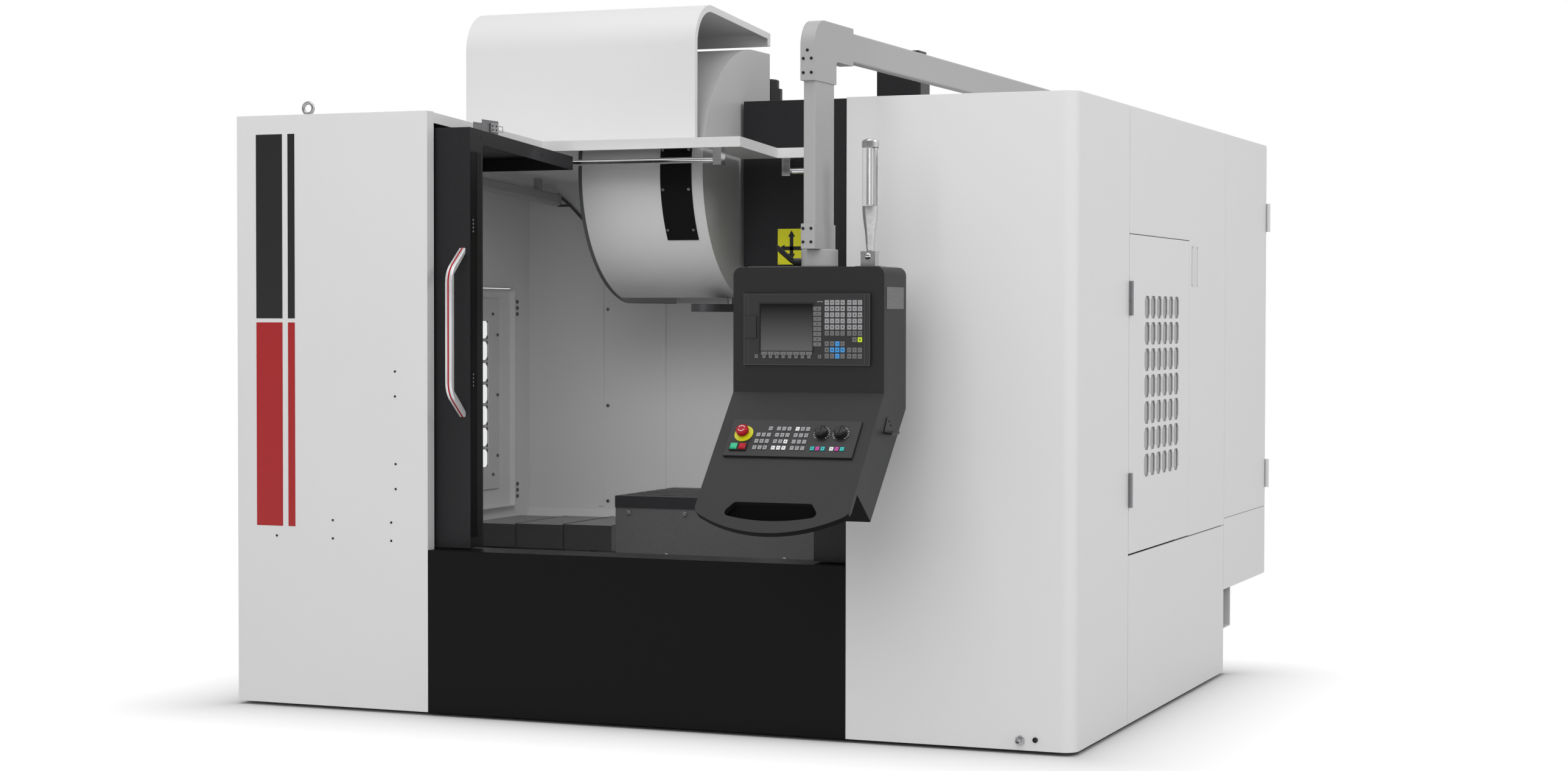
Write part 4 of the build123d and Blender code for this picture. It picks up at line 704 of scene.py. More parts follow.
class MACHINE_OT_table(bpy.types.Operator):
    """Dresses the table, its guards and the way covers"""

    bl_idname = "machine.table"
    bl_label = "Table and way covers"

    def execute(self, context):
        paint_faces(soften("table", "iron", 0.0015), "motor",
                    lambda face: abs(face.normal.y) > 0.9 or abs(face.normal.x) > 0.9)
        soften("table_guards", "apron", 0.001)
        # Painted light: the covers' upward faces get a paler steel than their fronts, as if lit
        # from above
        for node in ("fixed_way_covers", "inner_way_covers", "outer_way_covers"):
            paint_faces(soften(node, "cover", 0.0008), "cover_top",
                        lambda face: face.normal.z > 0.9)
        self.wipers("inner_way_covers", 0.001)
        self.wipers("outer_way_covers", 0.0015)
        return {"FINISHED"}

    def wipers(self, node, thickness):
        """Rubber lips over the top and front of a cover section's two ends."""
        low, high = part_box(node)
        front, top = low.y - thickness, high.z + thickness
        made = []
        for end, out in ((low.x, 1), (high.x, -1)):
            near, far = sorted((end, end + out * 0.0035))
            made += [
                start_box("wiper_top", (near, front, high.z), (far, high.y, top)),
                start_box("wiper_front", (near, front, low.z + 0.004), (far, low.y, high.z))]
        dress(joined(made, node + "_wipers"), "rubber", body_of(node), 0.0003)


class MACHINE_OT_head(bpy.types.Operator):
    """Dresses the head, its cover and the spindle"""

    bl_idname = "machine.head"
    bl_label = "Head and spindle"

    def execute(self, context):
        soften("head_casting", "casting", 0.003)
        soften("head_cover", "anthracite", 0.0016)
        soften("spindle", "steel", 0.0015)
        return {"FINISHED"}


class MACHINE_OT_magazine(bpy.types.Operator):
    """Dresses the tool magazine and the changer"""

    bl_idname = "machine.magazine"
    bl_label = "Magazine and changer"

    def execute(self, context):
        soften("magazine_access_cover", "black", 0.001)
        soften("tool_carousel", "alloy", 0.001)
        soften("changer_housing", "casting", 0.003)
        soften("changer_quill", "chrome", 0.001)
        soften("changer_arm", "iron", 0.002)
        return {"FINISHED"}


class MACHINE_OT_doors(bpy.types.Operator):
    """Dresses the sliding doors, their glass, handles and guide rods"""

    bl_idname = "machine.doors"
    bl_label = "Sliding doors"

    def execute(self, context):
        for side in ("left", "right"):
            # Painted shade: the doors' inner and downward faces get black paint
            paint_faces(soften(side + "_door", "anthracite", 0.0016), "black",
                        lambda face: face.normal.y > 0.5 or face.normal.z < -0.5)
            soften(side + "_door_window", "glass", 0.001)
            soften(side + "_handle", "handle", 0.004, 3)
        soften("guide_rods", "chrome", 0.001)
        return {"FINISHED"}


PANEL_TOP = 1.25
KEY_PITCH = 0.0183
PANEL_KEY_PITCH = 0.0182
PANEL_ROW_V, PANEL_ROW_PITCH = 0.1605, 0.0264


class MACHINE_OT_console(bpy.types.Operator):
    """Dresses the console, its arm, controls and lamp"""

    bl_idname = "machine.console"
    bl_label = "Console and arm"

    def execute(self, context):
        soften("arm_pivot", "arm", 0.002)
        soften("console_arm", "arm", 0.006, 3)
        soften("console_collar", "arm", 0.004, 3)
        self.housing()
        soften("control_unit", "unit", 0.0015)
        soften("screen", "screen", 0.0005)
        self.keys()
        soften("operator_panel", "panel", 0.0015)
        soften("estop_button", "red", 0.001)
        soften("start_button", "green", 0.001)
        soften("stop_button", "red", 0.001)
        soften("feed_knob", "plastic", 0.001)
        soften("spindle_knob", "plastic", 0.001)
        soften("lamp_stem", "lacquer", 0.0)
        soften("lamp_tube", "lamp", 0.001)
        return {"FINISHED"}

    def housing(self):
        """Console shell with black painted shade in the recess behind its handhold, on the desk's
        front lip and on its undersides.
        """

        def unlit(face):
            u, v = desk_place(face.center)
            rise = face.normal.dot(DESK_UP)
            inside = abs(u) < 0.172 and 0.44 < v < 0.54 and abs(rise) < 0.9
            lip = v > 0.5 and rise < 0.4 and abs(face.normal.x) < 0.95
            return inside or lip or face.normal.z < -0.3

        # Painted shade: near-black paint on the handhold's recess, the desk's front lip and the
        # undersides
        paint_faces(soften("console_housing", "console", 0.002), "painted_shade", unlit)

    def keys(self):
        """Paints each key by its place on the unit or the panel."""
        keys = soften("panel_keys", "keys", 0.0006)
        names = ["keys", "key_dark", "key_white", "key_blue", "key_lime", "key_teal", "key_violet"]
        for name in names[1:]:
            keys.data.materials.append(paints[name])
        for part in islands(keys.data):
            center = sum((face.center for face in part), Vector()) / len(part)
            index = names.index(self.key_paint(center))
            for face in part:
                face.material_index = index

    def key_paint(self, center):
        """The paint of the key at a place."""
        if center.z < PANEL_TOP:
            return self.panel_key_paint(*desk_place(center))
        x, z = center.x - DESK_X, center.z
        if x < 0.06:
            return "key_dark"
        column = round((x - (0.072 if x < 0.14 else 0.0769)) / KEY_PITCH)
        if z > 1.414:
            return "keys" if z > 1.434 else "key_dark"
        if z > 1.397:
            return "key_lime" if column == 6 else "key_dark"
        cross = column == 2 or (column in (1, 3) and abs(z - 1.3702) < 0.005)
        return "key_blue" if cross else "key_dark"

    def panel_key_paint(self, u, v):
        """The paint of a key on the operator panel."""
        if u > 0.07:
            first, count = (0.08, 0) if u < 0.13 else (0.146, 3)
            return ("key_teal", "key_violet", "key_teal", "key_white", "key_violet", "key_teal")[
                round((u - first) / PANEL_KEY_PITCH + count)]
        row = round((v - PANEL_ROW_V) / PANEL_ROW_PITCH)
        pale = {0: (0, 0.02), 2: (-0.03, -0.01), 3: (-0.07, 0)}
        return "key_white" if row in pale and pale[row][0] < u < pale[row][1] else "keys"


class MACHINE_OT_panel_trim(bpy.types.Operator):
    """Adds the stripe, screws, fittings and plain plates of the outer sheets"""

    bl_idname = "machine.panel_trim"
    bl_label = "Panel trim"

    def execute(self, context):
        width, lift = sizes().stripe_width, 0.0008
        left = -1.48 - width / 2
        right, gap = left + width, left + width * 0.82
        for name, low, high, paint in (("stripe_upper", 1.470, 2.165, "stripe_black"),
                                       ("stripe_lower", 0.685, 1.455, "stripe_red")):
            wide = start_box(name + "_wide", at(left, -lift, low), at(left + width * 0.68, 0, high))
            thin = start_box(name + "_thin", at(gap, -lift, low), at(right, 0, high))
            dress(joined([wide, thin], name), paint, ROOT, 0.0003)
        holes = ((-0.963, 1.2736), (-0.963, 1.181), (-0.961, 0.9296), (-0.961, 0.8367),
                 (-1.2315, 0.7132), (-1.2315, 0.6444), (-0.98, 0.7115), (-0.98, 0.6434),
                 (-1.477, 0.648))
        cap_screws("left_panel_plugs", [at(x, 0, z) for x, z in holes], FORWARD, 0.0045, 0.002,
                   "dark_screw", ROOT, 16)
        self.hose_fittings()
        self.bare_plates()
        return {"FINISHED"}

    def hose_fittings(self):
        """A tap and a plug low on the right panel."""
        nut = start_disc("drain_fitting", at(1.4586, -0.006, 0.047), FORWARD, 0.017, 0.012, 6)
        pick_facing(nut, FORWARD)
        for inset, out in ((0.005, 0.02), (0.003, -0.014)):
            bpy.ops.mesh.inset(thickness=inset)
            push(FORWARD * out)
        dress(leave(nut), "steel", ROOT, 0.0012)
        plug = start_disc("drain_plug", at(1.512, -0.004, 0.0505), FORWARD, 0.009, 0.008, 24)
        sink(plug, FORWARD, 0.003, 0.005)
        dress(plug, "dark_screw", ROOT, 0.0012)

    def bare_plates(self):
        """A seam line on the cabinet and a bare rating plate on the right wall."""
        low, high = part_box("electrical_cabinet")
        seam = start_box("cabinet_seam", (high.x - 0.001, low.y + 0.004, 0.648),
                         (high.x + 0.0004, high.y - 0.004, 0.650))
        dress(seam, "motor", ROOT, 0.0002)
        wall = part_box("right_front_panel")[1].x
        face = wall + 0.0012
        plate = start_box("wall_plate", at(wall, 1.66, 1.60), at(face, 1.76, 1.76))
        sink(plate, RIGHT, 0.006, 0.0004)
        dress(plate, "steel", ROOT, 0.0004)
        corners = [at(face, y, z) for y in (1.666, 1.754) for z in (1.606, 1.754)]
        cap_screws("wall_plate_rivets", corners, RIGHT, 0.0025, 0.0012, "steel", ROOT, 12)


class MACHINE_OT_chamber_trim(bpy.types.Operator):
    """Adds the folds, bolts and frames inside the work chamber"""

    bl_idname = "machine.chamber_trim"
    bl_label = "Chamber trim"

    def execute(self, context):
        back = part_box("inner_guard")[1].y - 0.004
        folds = ((-1.274, 0.013), (-0.973, 0.025), (0.62, 0.013), (1.1, 0.025))
        for index, (x, half) in enumerate(folds):
            strip = start_box("wall_fold_%d" % index, (x - half, back - 0.006, 0.61),
                              (x + half, back, 2.06))
            dress(strip, "inside", ROOT, 0.0055, 3)
        places = [(-1.241, back, z) for z in (0.635, 1.073, 1.514, 1.955)]
        cap_screws("back_wall_bolts", places, FORWARD, 0.0075, 0.006, "screw", ROOT)
        self.window_frames()
        self.left_wall()
        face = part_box("table")[0].y + 0.006
        bolts = [(x, face, 0.661) for x in (-0.704, -0.446, -0.188, 0.188, 0.446, 0.704)]
        bolts += [(x, face, 0.486) for x in (-0.53, 0.0, 0.53)]
        cap_screws("apron_bolts", bolts, FORWARD, 0.0095, 0.010, "alloy", "table_unit")
        return {"FINISHED"}

    def window_frames(self):
        """Frames round the slots on the inside of the side doors."""
        margin, thick = 0.09, 0.004
        for side, bar in (("left", 0.102), ("right", 0.062)):
            low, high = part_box(side + "_side_window")
            near, far = (high.x, high.x + thick) if side == "left" else (low.x - thick, low.x)
            plate = ring_frame(side + "_window_frame", (near, low.y - margin, low.z - margin),
                               (far, high.y + margin, high.z + margin), RIGHT, bar)
            dress(plate, "inside", side + "_side_door_unit", 0.001)

    def left_wall(self):
        """Bolts and bars of the left door's inside, and the dark foot of the wall."""
        low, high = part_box("left_side_window")
        face = high.x + 0.004
        places = [(face, y, z) for y in (low.y - 0.071, high.y + 0.071)
                  for z in (0.852, 1.126, 1.397)]
        places += [(face, y, z) for y in (low.y - 0.027, high.y + 0.027)
                   for z in (low.z - 0.025, high.z + 0.019)]
        cap_screws("left_window_bolts", places, RIGHT, 0.007, 0.006, "screw", "left_side_door_unit")
        self.window_bars(low, high)
        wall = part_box("left_side_wall")[1].x
        # A black strip that darkens the foot of the left wall
        skirt = start_box("wall_foot_strip", (wall, 0.36, 0.25), (wall + 0.003, 1.2, 0.47))
        sink(skirt, RIGHT, 0.01, 0.001)
        dress(skirt, "black", ROOT, 0.0006)
        bolts = [at(wall, 2.275, z) for z in (0.655, 0.683, 0.711, 1.492, 1.52, 1.548)]
        cap_screws("left_wall_bolts", bolts, RIGHT, 0.009, 0.006, "screw", ROOT)

    def window_bars(self, low, high):
        """Pale bars between the slots of the left window, on the chamber's side of the pane."""
        columns, rows = 6, 7
        half, deep = 0.006, 0.003
        pitch_y, pitch_z = (high.y - low.y) / columns, (high.z - low.z) / rows
        upright = start_box("window_uprights", (high.x, low.y + pitch_y - half, low.z),
                            (high.x + deep, low.y + pitch_y + half, high.z))
        cross = start_box("window_crossbars", (high.x, low.y, low.z + pitch_z - half),
                          (high.x + deep, high.y, low.z + pitch_z + half))
        for bars, count, step in ((upright, columns, Vector((0, pitch_y, 0))),
                                  (cross, rows, Vector((0, 0, pitch_z)))):
            round_edges(bars, 0.001)
            copies(bars, [step * index for index in range(1, count)])
            dress(bars, "inside", "left_side_door_unit")


class MACHINE_OT_head_plate(bpy.types.Operator):
    """Adds the yellow axis plate on the head cover"""

    bl_idname = "machine.head_plate"
    bl_label = "Axis plate"

    def execute(self, context):
        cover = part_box("head_cover")[0].y
        face, front = cover - 0.0015, cover - 0.0023
        plate = start_box("axis_plate", (-0.095, face, 1.697), (0.047, cover, 1.845))
        dress(plate, "yellow", "head_unit", 0.0006)
        marks = [self.arrow("mark_up", Vector((-0.033, front, 1.777)), 0.112, False),
                 self.arrow("mark_side", Vector((-0.026, front, 1.764)), 0.118, True)]
        dress(joined(marks, "axis_marks"), "stripe_black", "head_unit", 0.0002)
        corners = [(x, face, z) for x in (-0.089, 0.041) for z in (1.703, 1.839)]
        cap_screws("axis_plate_rivets", corners, FORWARD, 0.0025, 0.001, "steel", "head_unit", 12)
        return {"FINISHED"}

    def arrow(self, name, center, length, across):
        """A flat arrow with a head at each end, up the plate or across it."""
        along, aside = (RIGHT, UP) if across else (UP, RIGHT)
        reach = along * (length / 2 - 0.02) + aside * 0.008
        depth = Vector((0, 0.0008, 0))
        parts = [start_box(name, center - reach, center + reach + depth)]
        turns = (math.pi / 2, -math.pi / 2) if across else (0, math.pi)
        for end, turn in zip((1, -1), turns):
            clear_selection()
            bpy.ops.mesh.primitive_cylinder_add(
                vertices=3, radius=0.018, depth=depth.y, rotation=(math.pi / 2, turn, 0),
                location=center + along * end * (length / 2 - 0.012) + depth / 2)
            parts.append(take("arrow_head"))
        return joined(parts, name)


class MACHINE_OT_door_trim(bpy.types.Operator):
    """Adds gaskets, handle stripes, latches and brackets to the sliding doors"""

    bl_idname = "machine.door_trim"
    bl_label = "Door trim"

    def execute(self, context):
        lap = 0.012
        for side in ("left", "right"):
            low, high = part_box(side + "_door_window")
            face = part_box(side + "_door")[0].y - 0.003
            gasket = ring_frame(side + "_door_gasket", (low.x - lap, face, low.z - lap),
                                (high.x + lap, low.y, high.z + lap), FORWARD, 2 * lap)
            dress(gasket, "rubber", side + "_door_unit", 0.0012)
            self.handle_stripe(side)
            self.latches(side)
        self.switch_bracket()
        return {"FINISHED"}

    def handle_stripe(self, side):
        """A red line along the middle of a handle."""
        node = side + "_handle"
        piece = merged_copy(node, node + "_stripe")
        pick(piece, lambda center, normal: normal.y > -0.3)
        bpy.ops.mesh.delete(type="FACE")
        bpy.ops.mesh.select_all(action="SELECT")
        low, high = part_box(node)
        bpy.ops.transform.resize(value=(0.22, 1, 1), center_override=(low + high) / 2)
        bpy.ops.transform.translate(value=FORWARD * 0.0006)
        modify(leave(piece), "SOLIDIFY", thickness=0.0008)
        dress(piece, "red", side + "_door_unit")

    def latches(self, side):
        """Dark latch plates with bright screws and a rubber seal on a door's closing edge."""
        low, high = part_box(side + "_door")
        body = side + "_door_unit"
        edge, out = (high.x, 1) if side == "left" else (low.x, -1)
        facing = (out, 0, 0)

        def edge_block(name, thick, start, end):
            """A block that stands thick on the edge, between two places in y and z."""
            near, far = sorted((edge, edge + out * thick))
            return start_box(name, (near, *start), (far, *end))

        y = low.y + 0.012
        made, screws = [], []
        for z in (1.243, 1.814):
            plate = edge_block("latch", 0.0012, (y, z - 0.032), (y + 0.022, z + 0.032))
            made.append(sink(plate, facing, 0.004, 0.0006))
            screws += [(edge + out * 0.0006, y + 0.011, z + rise)
                       for rise in (-0.021, -0.007, 0.007, 0.021)]
        dress(joined(made, side + "_door_latches"), "black", body, 0.0004)
        cap_screws(side + "_latch_screws", screws, facing, 0.004, 0.001, "steel", body, 12)
        foot, top = low.z + 0.04, high.z - 0.09
        strip = edge_block(side + "_edge_plate", 0.0008, (low.y + 0.004, foot),
                           (low.y + 0.052, top))
        sink(strip, facing, 0.003, 0.0003)
        dress(strip, "black", body, 0.0002)
        seal = edge_block(side + "_door_seal", 0.0016, (low.y + 0.054, foot), (low.y + 0.086, top))
        sink(seal, facing, 0.01, 0.001)
        dress(seal, "rubber", body, 0.0005)

    def switch_bracket(self):
        """Perforated bracket that carries the door switch on top of the left door."""
        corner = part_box("left_door")[1]
        side, top = corner.x, corner.z
        body = "left_door_unit"
        back, front = side - 0.008, side - 0.006
        foot = top - 0.03
        arm = start_box("bracket_arm", at(back, 0.104, foot), at(front, 0.17, top + 0.022))
        hump = start_box("bracket_hump", at(back, 0.17, foot), at(front, 0.298, top + 0.036))
        lug = start_box("bracket_lug", at(front, 0.232, top - 0.008),
                        at(side - 0.001, 0.29, top + 0.026))
        for piece in (arm, hump, lug):
            sink(piece, RIGHT, 0.004, 0.0006)
        dress(joined([arm, hump], "switch_bracket"), "screw", body, 0.0003)
        dress(lug, "steel", body, 0.001)
        holes = [at(side - 0.0016, y, top + z) for y in (0.246, 0.274) for z in (0.001, 0.016)]
        cap_screws("switch_screws", holes, RIGHT, 0.004, 0.0012, "dark_screw", body, 12)
        rungs = ring_frame("switch_rungs", at(back, 0.298, top - 0.004),
                           at(front, 0.336, top + 0.020), RIGHT, 0.003)
        dress(rungs, "steel", body, 0.0004)
        heads = [(side, -0.9375, 2.146), (side, -0.444, 2.108)]
        cap_screws("door_top_screws", heads, RIGHT, 0.006, 0.0008, "dark_screw", body, 16)


class MACHINE_OT_magazine_trim(bpy.types.Operator):
    """Adds the screws and the dark strip of painted shade on the rim of the magazine cover"""

    bl_idname = "machine.magazine_trim"
    bl_label = "Magazine trim"

    def execute(self, context):
        hub = joint_place("carousel_turn")
        hub.x = 0
        low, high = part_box("magazine_access_cover")
        radius = hub.y - low.y + 0.002
        made = []
        for angle in (171, 188, 206):
            out = Vector((0, math.cos(math.radians(angle)), math.sin(math.radians(angle))))
            for x in (low.x + 0.012, high.x - 0.012):
                head = start_disc("screw", hub + RIGHT * x + out * radius, out, 0.006, 0.005, 16)
                made.append(sink(head, out, 0.0025, 0.0025))
        dress(joined(made, "access_cover_screws"), "steel", ROOT, 0.0006)
        self.shaded_rim_strip(hub)
        return {"FINISHED"}

    def shaded_rim_strip(self, hub):
        """A dark strip round the left end of the cover: painted shade on its rim."""
        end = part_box("magazine_cover")[0].x
        strip = merged_copy("magazine_cover", "magazine_rim_shade")
        bpy.ops.mesh.bisect(plane_co=(end + 0.015, 0, 0), plane_no=RIGHT, clear_outer=True)

        def off_the_rim(center, normal):
            out = (Vector((0, center.y, center.z)) - hub).normalized()
            return normal.dot(out) < 0.9 or center.z > hub.z + 0.2

        pick(strip, off_the_rim)
        bpy.ops.mesh.delete(type="FACE")
        modify(leave(strip), "SOLIDIFY", thickness=0.002, offset=1)
        dress(strip, "unit_edge", ROOT)


class MACHINE_OT_console_trim(bpy.types.Operator):
    """Adds the console's disc, ticks, flap, hook, lever and plates"""

    bl_idname = "machine.console_trim"
    bl_label = "Console trim"

    def execute(self, context):
        self.stop_disc()
        self.knob_ticks()
        self.unit_details()
        self.hook_and_plate()
        self.clamp_lever()
        self.arm_screws()
        self.legends()
        self.lamp_foot()
        self.handhold_shade_plate()
        self.lamp_core()
        return {"FINISHED"}

    def stop_disc(self):
        """Yellow disc and pale arcs of the emergency stop, and the frames of two buttons."""
        middle = on_desk(STOP_U, STOP_V, PANEL_H + 0.0015)
        disc = start_disc("estop_disc", middle, DESK_UP, 0.032, 0.003, 48)
        pick_facing(disc, DESK_UP)
        bpy.ops.mesh.inset(thickness=0.012)
        push(DESK_UP * 0.004)
        dress(leave(disc), "yellow", CONSOLE, 0.0008)
        top = on_desk(STOP_U, STOP_V, PANEL_H + 0.0302)
        clear_selection()
        bpy.ops.mesh.primitive_torus_add(
            location=top, rotation=DESK_TURN, major_radius=0.0105, minor_radius=0.0011,
            major_segments=48, minor_segments=10)
        arcs = take("estop_arcs")
        pick(arcs, lambda center, normal: abs((center - top).dot(DESK_DOWN)) < 0.0035)
        bpy.ops.mesh.delete(type="FACE")
        bpy.ops.mesh.select_all(action="SELECT")
        bpy.ops.mesh.fill_holes(sides=0)
        dress(leave(arcs), "key_white", "estop_unit")
        for name, u in (("start_frame", -0.192), ("stop_frame", -0.162)):
            block = start_block(name, on_desk(u, 0.2385, PANEL_H + 0.0025), (0.0294, 0.0294, 0.005),
                                DESK_TURN)
            dress(open_frame(block, DESK_UP, 0.0022), "plastic", CONSOLE, 0.0006)

    def knob_ticks(self):
        """Rings of pale tick marks round the override knobs."""
        reach, steps = 0.0265, 16
        made = []
        for u in (KNOB_U, SECOND_KNOB_U):
            middle = on_desk(u, KNOB_V, PANEL_H + 0.0004)
            plate = start_disc("knob_plate", middle, DESK_UP, 0.032, 0.0008, 48)
            sink(plate, DESK_UP, 0.0006, 0.0002)
            dress(plate, "plastic", CONSOLE, 0.0002)
            for index in range(steps + 1):
                angle = math.radians(-135 + index * 270 / steps)
                place = on_desk(u + reach * math.sin(angle), KNOB_V - reach * math.cos(angle),
                                PANEL_H + 0.0009)
                size = (0.0016, 0.003 if index % 2 else 0.0046, 0.0006)
                tick = start_block("tick", place, size, DESK_TURN)
                turn = Matrix.Rotation(-angle, 4, DESK_UP)
                tick.data.transform(Matrix.Translation(place) @ turn @ Matrix.Translation(-place))
                made.append(tick)
        dress(joined(made, "knob_ticks"), "key_white", CONSOLE)

    def unit_details(self):
        """Side flap, rails, rim, lamps and screen bezel of the control unit."""
        low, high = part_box("control_unit")
        face = low.y
        flap = start_box("unit_flap", (low.x + 0.004, face - 0.006, 1.408),
                         (low.x + 0.046, face, 1.480))
        sink(flap, RIGHT, 0.0012, 0.002)
        dress(flap, "unit", CONSOLE, 0.0008)
        rails = [start_box("unit_rail", (x, face - 0.0012, low.z + 0.004),
                           (x + 0.0016, face, high.z - 0.004))
                 for x in (low.x + 0.016, high.x - 0.018)]
        dress(joined(rails, "unit_rails"), "unit_edge", CONSOLE, 0.0004)
        rim = ring_frame("unit_rim", (low.x, face - 0.0008, low.z), (high.x, face, high.z),
                         FORWARD, 0.0018)
        dress(rim, "unit_edge", CONSOLE, 0.0003)
        lamps = [(low.x + 0.262 + index * 0.007, face, 1.527) for index in range(3)]
        cap_screws("unit_lamps", lamps, FORWARD, 0.0016, 0.001, "key_white", CONSOLE, 12)
        low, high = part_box("screen")
        bar = 0.005
        bezel = ring_frame("screen_bezel", (low.x - bar, face - 0.0015, low.z - bar),
                           (high.x + bar, face, high.z + bar), FORWARD, bar)
        dress(bezel, "plastic", CONSOLE, 0.0005)

    def hook_and_plate(self):
        """Folded hook and bare plate on the console's right cheek."""
        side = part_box("console_housing")[1].x
        face = side + 0.003
        hook = start_box("side_hook", at(side, -0.534, 1.106), at(face, -0.462, 1.109))
        pick_facing(hook, UP)
        push((0, 0.004, 0.043))
        bpy.ops.transform.resize(value=(1, 0.4, 1), center_override=at(side, -0.49, 1.152))
        pick_facing(hook, -UP)
        push((0, 0, -0.007))
        pick(hook, lambda center, normal: normal.x > FACING and center.z < 1.106)
        push((0.022, 0, -0.004))
        push((0.004, 0, 0.004))
        dress(leave(hook), "plastic", CONSOLE, 0.0006)
        holes = [at(face, -0.488, 1.139), at(face, -0.474, 1.125)]
        cap_screws("hook_screws", holes, RIGHT, 0.004, 0.0015, "dark_screw", CONSOLE, 12)
        plate = start_box("side_plate", at(side, -0.509, 1.504), at(side + 0.0012, -0.343, 1.575))
        sink(plate, RIGHT, 0.003, 0.0004)
        dress(plate, "plate", CONSOLE, 0.0003)

    def clamp_lever(self):
        """Lever that clamps the console's swivel."""
        low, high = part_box("console_collar")
        hub = Vector((low.x - 0.006, (low.y + high.y) / 2 - 0.02, (low.z + high.z) / 2 - 0.012))
        lever = start_disc("clamp_lever", hub, -RIGHT, 0.013, 0.026, 24)
        pick_facing(lever, -RIGHT)
        bpy.ops.mesh.inset(thickness=0.002)
        push((-0.012, -0.006, 0.008))
        push((-0.037, -0.014, 0.035))
        bpy.ops.mesh.inset(thickness=0.001)
        push((-0.006, -0.002, 0.006))
        dress(leave(lever), "plastic", CONSOLE, 0.001)

    def arm_screws(self):
        """Screws of the arm's elbow and socket."""
        low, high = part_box("console_arm")
        middle = (low.x + high.x) / 2
        places = [(middle + x, low.y, z) for x in (-0.014, 0.014)
                  for z in (2.273, 2.319, 1.722, 1.766)]
        places.append((middle, low.y, 2.346))
        cap_screws("arm_screws", places, FORWARD, 0.005, 0.003, "dark_screw", "boom_unit", 16)

    def legends(self):
        """Small dark marks on the keys, in three plain shapes by turns."""
        keys = bpy.data.objects["panel_keys_skin"].data
        spots = ([], [], []), ([], [], [])
        for count, part in enumerate(islands(keys)):
            points = [keys.vertices[index].co for face in part for index in face.vertices]
            center = sum(points, Vector()) / len(points)
            on_panel = center.z < PANEL_TOP
            out = DESK_UP if on_panel else FORWARD
            top = max(point.dot(out) for point in points)
            spots[on_panel][count % 3].append(center + out * (top - center.dot(out)))
        shapes = ((0.0064, 0.0018), (0.0042, 0.0042), (0.0018, 0.0058))
        deep = 0.0004
        made = []
        for on_panel, groups in enumerate(spots):
            for (wide, tall), places in zip(shapes, groups):
                if on_panel:
                    mark = start_block("legend", places[0], (wide, tall, deep), DESK_TURN)
                else:
                    mark = start_block("legend", places[0], (wide, deep, tall))
                made.append(copies(mark, places))
        dress(joined(made, "key_legends"), "stripe_black", CONSOLE)

    def lamp_core(self):
        """Silver core with three fins inside the lamp's tube."""
        low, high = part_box("lamp_tube")
        tall = high.z - low.z - 0.008
        core = start_disc("lamp_core", (low + high) / 2, UP, 0.009, tall, 18)
        pick(core, lambda center, normal: normal.x > 0.95 or abs(normal.y) > 0.95)
        bpy.ops.mesh.extrude_region_shrink_fatten(TRANSFORM_OT_shrink_fatten={"value": 0.004})
        dress(leave(core), "alloy", CONSOLE)

    def handhold_shade_plate(self):
        """Black plate behind the desk's handhold: painted shade that fills the opening."""
        edge = on_desk(0, 0.452, -0.021)
        flap = start_box("handhold_shade_plate", edge + Vector((-0.2, 0, -0.056)),
                         edge + Vector((0.2, 0.003, 0.002)))
        sink(flap, FORWARD, 0.006, 0.0008)
        dress(flap, "painted_shade", CONSOLE, 0.0006)

    def lamp_foot(self):
        """Clevis and ball that carry the lamp's stem."""
        low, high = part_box("lamp_stem")
        middle = (low + high) / 2
        foot = low.z + 0.006
        cheeks = []
        for side in (-1, 1):
            x = middle.x + side * 0.021
            cheek = start_box("lamp_cheek", (x - 0.004, middle.y - 0.02, foot),
                              (x + 0.004, middle.y + 0.014, foot + 0.044))
            cheeks.append(sink(cheek, (side, 0, 0), 0.005, 0.001))
        dress(joined(cheeks, "lamp_clevis"), "lacquer", CONSOLE, 0.0012)
        center = (middle.x, middle.y - 0.019, foot + 0.03)
        ball = start_disc("lamp_ball", center, FORWARD, 0.0115, 0.012, 32)
        pick_facing(ball, FORWARD)
        for inset, rise in ((0.0015, 0.003), (0.003, 0.0025), (0.003, 0.001)):
            bpy.ops.mesh.inset(thickness=inset)
            bpy.ops.transform.translate(value=FORWARD * rise)
        dress(leave(ball), "chrome", CONSOLE)


# Stage


class MACHINE_OT_stage(bpy.types.Operator):
    """Builds the floor, the light and the camera"""

    bl_idname = "machine.stage"
    bl_label = "Floor, light and camera"

    def execute(self, context):
        lay_floor()
        light_world()
        hang_lamps()
        set_camera()
        context.scene.view_settings.view_transform = "Standard"
        return {"FINISHED"}


def seen_rays(tree):
    """The camera's rays, and those together with reflections and what clear glass shows."""
    rays = tree.nodes.new("ShaderNodeLightPath").outputs
    camera = rays["Is Camera Ray"]
    bent = sum_of(tree, "MAXIMUM", rays["Is Glossy Ray"], rays["Is Transmission Ray"])
    return camera, sum_of(tree, "MAXIMUM", camera, bent)


def blend_surface(tree, factor, first, second, end):
    """Mixes two shaders into the tree's end node."""
    blend = tree.nodes.new("ShaderNodeMixShader")
    for index, socket in enumerate((factor, first.outputs[0], second.outputs[0])):
        tree.links.new(socket, blend.inputs[index])
    tree.links.new(blend.outputs[0], tree.nodes[end].inputs["Surface"])


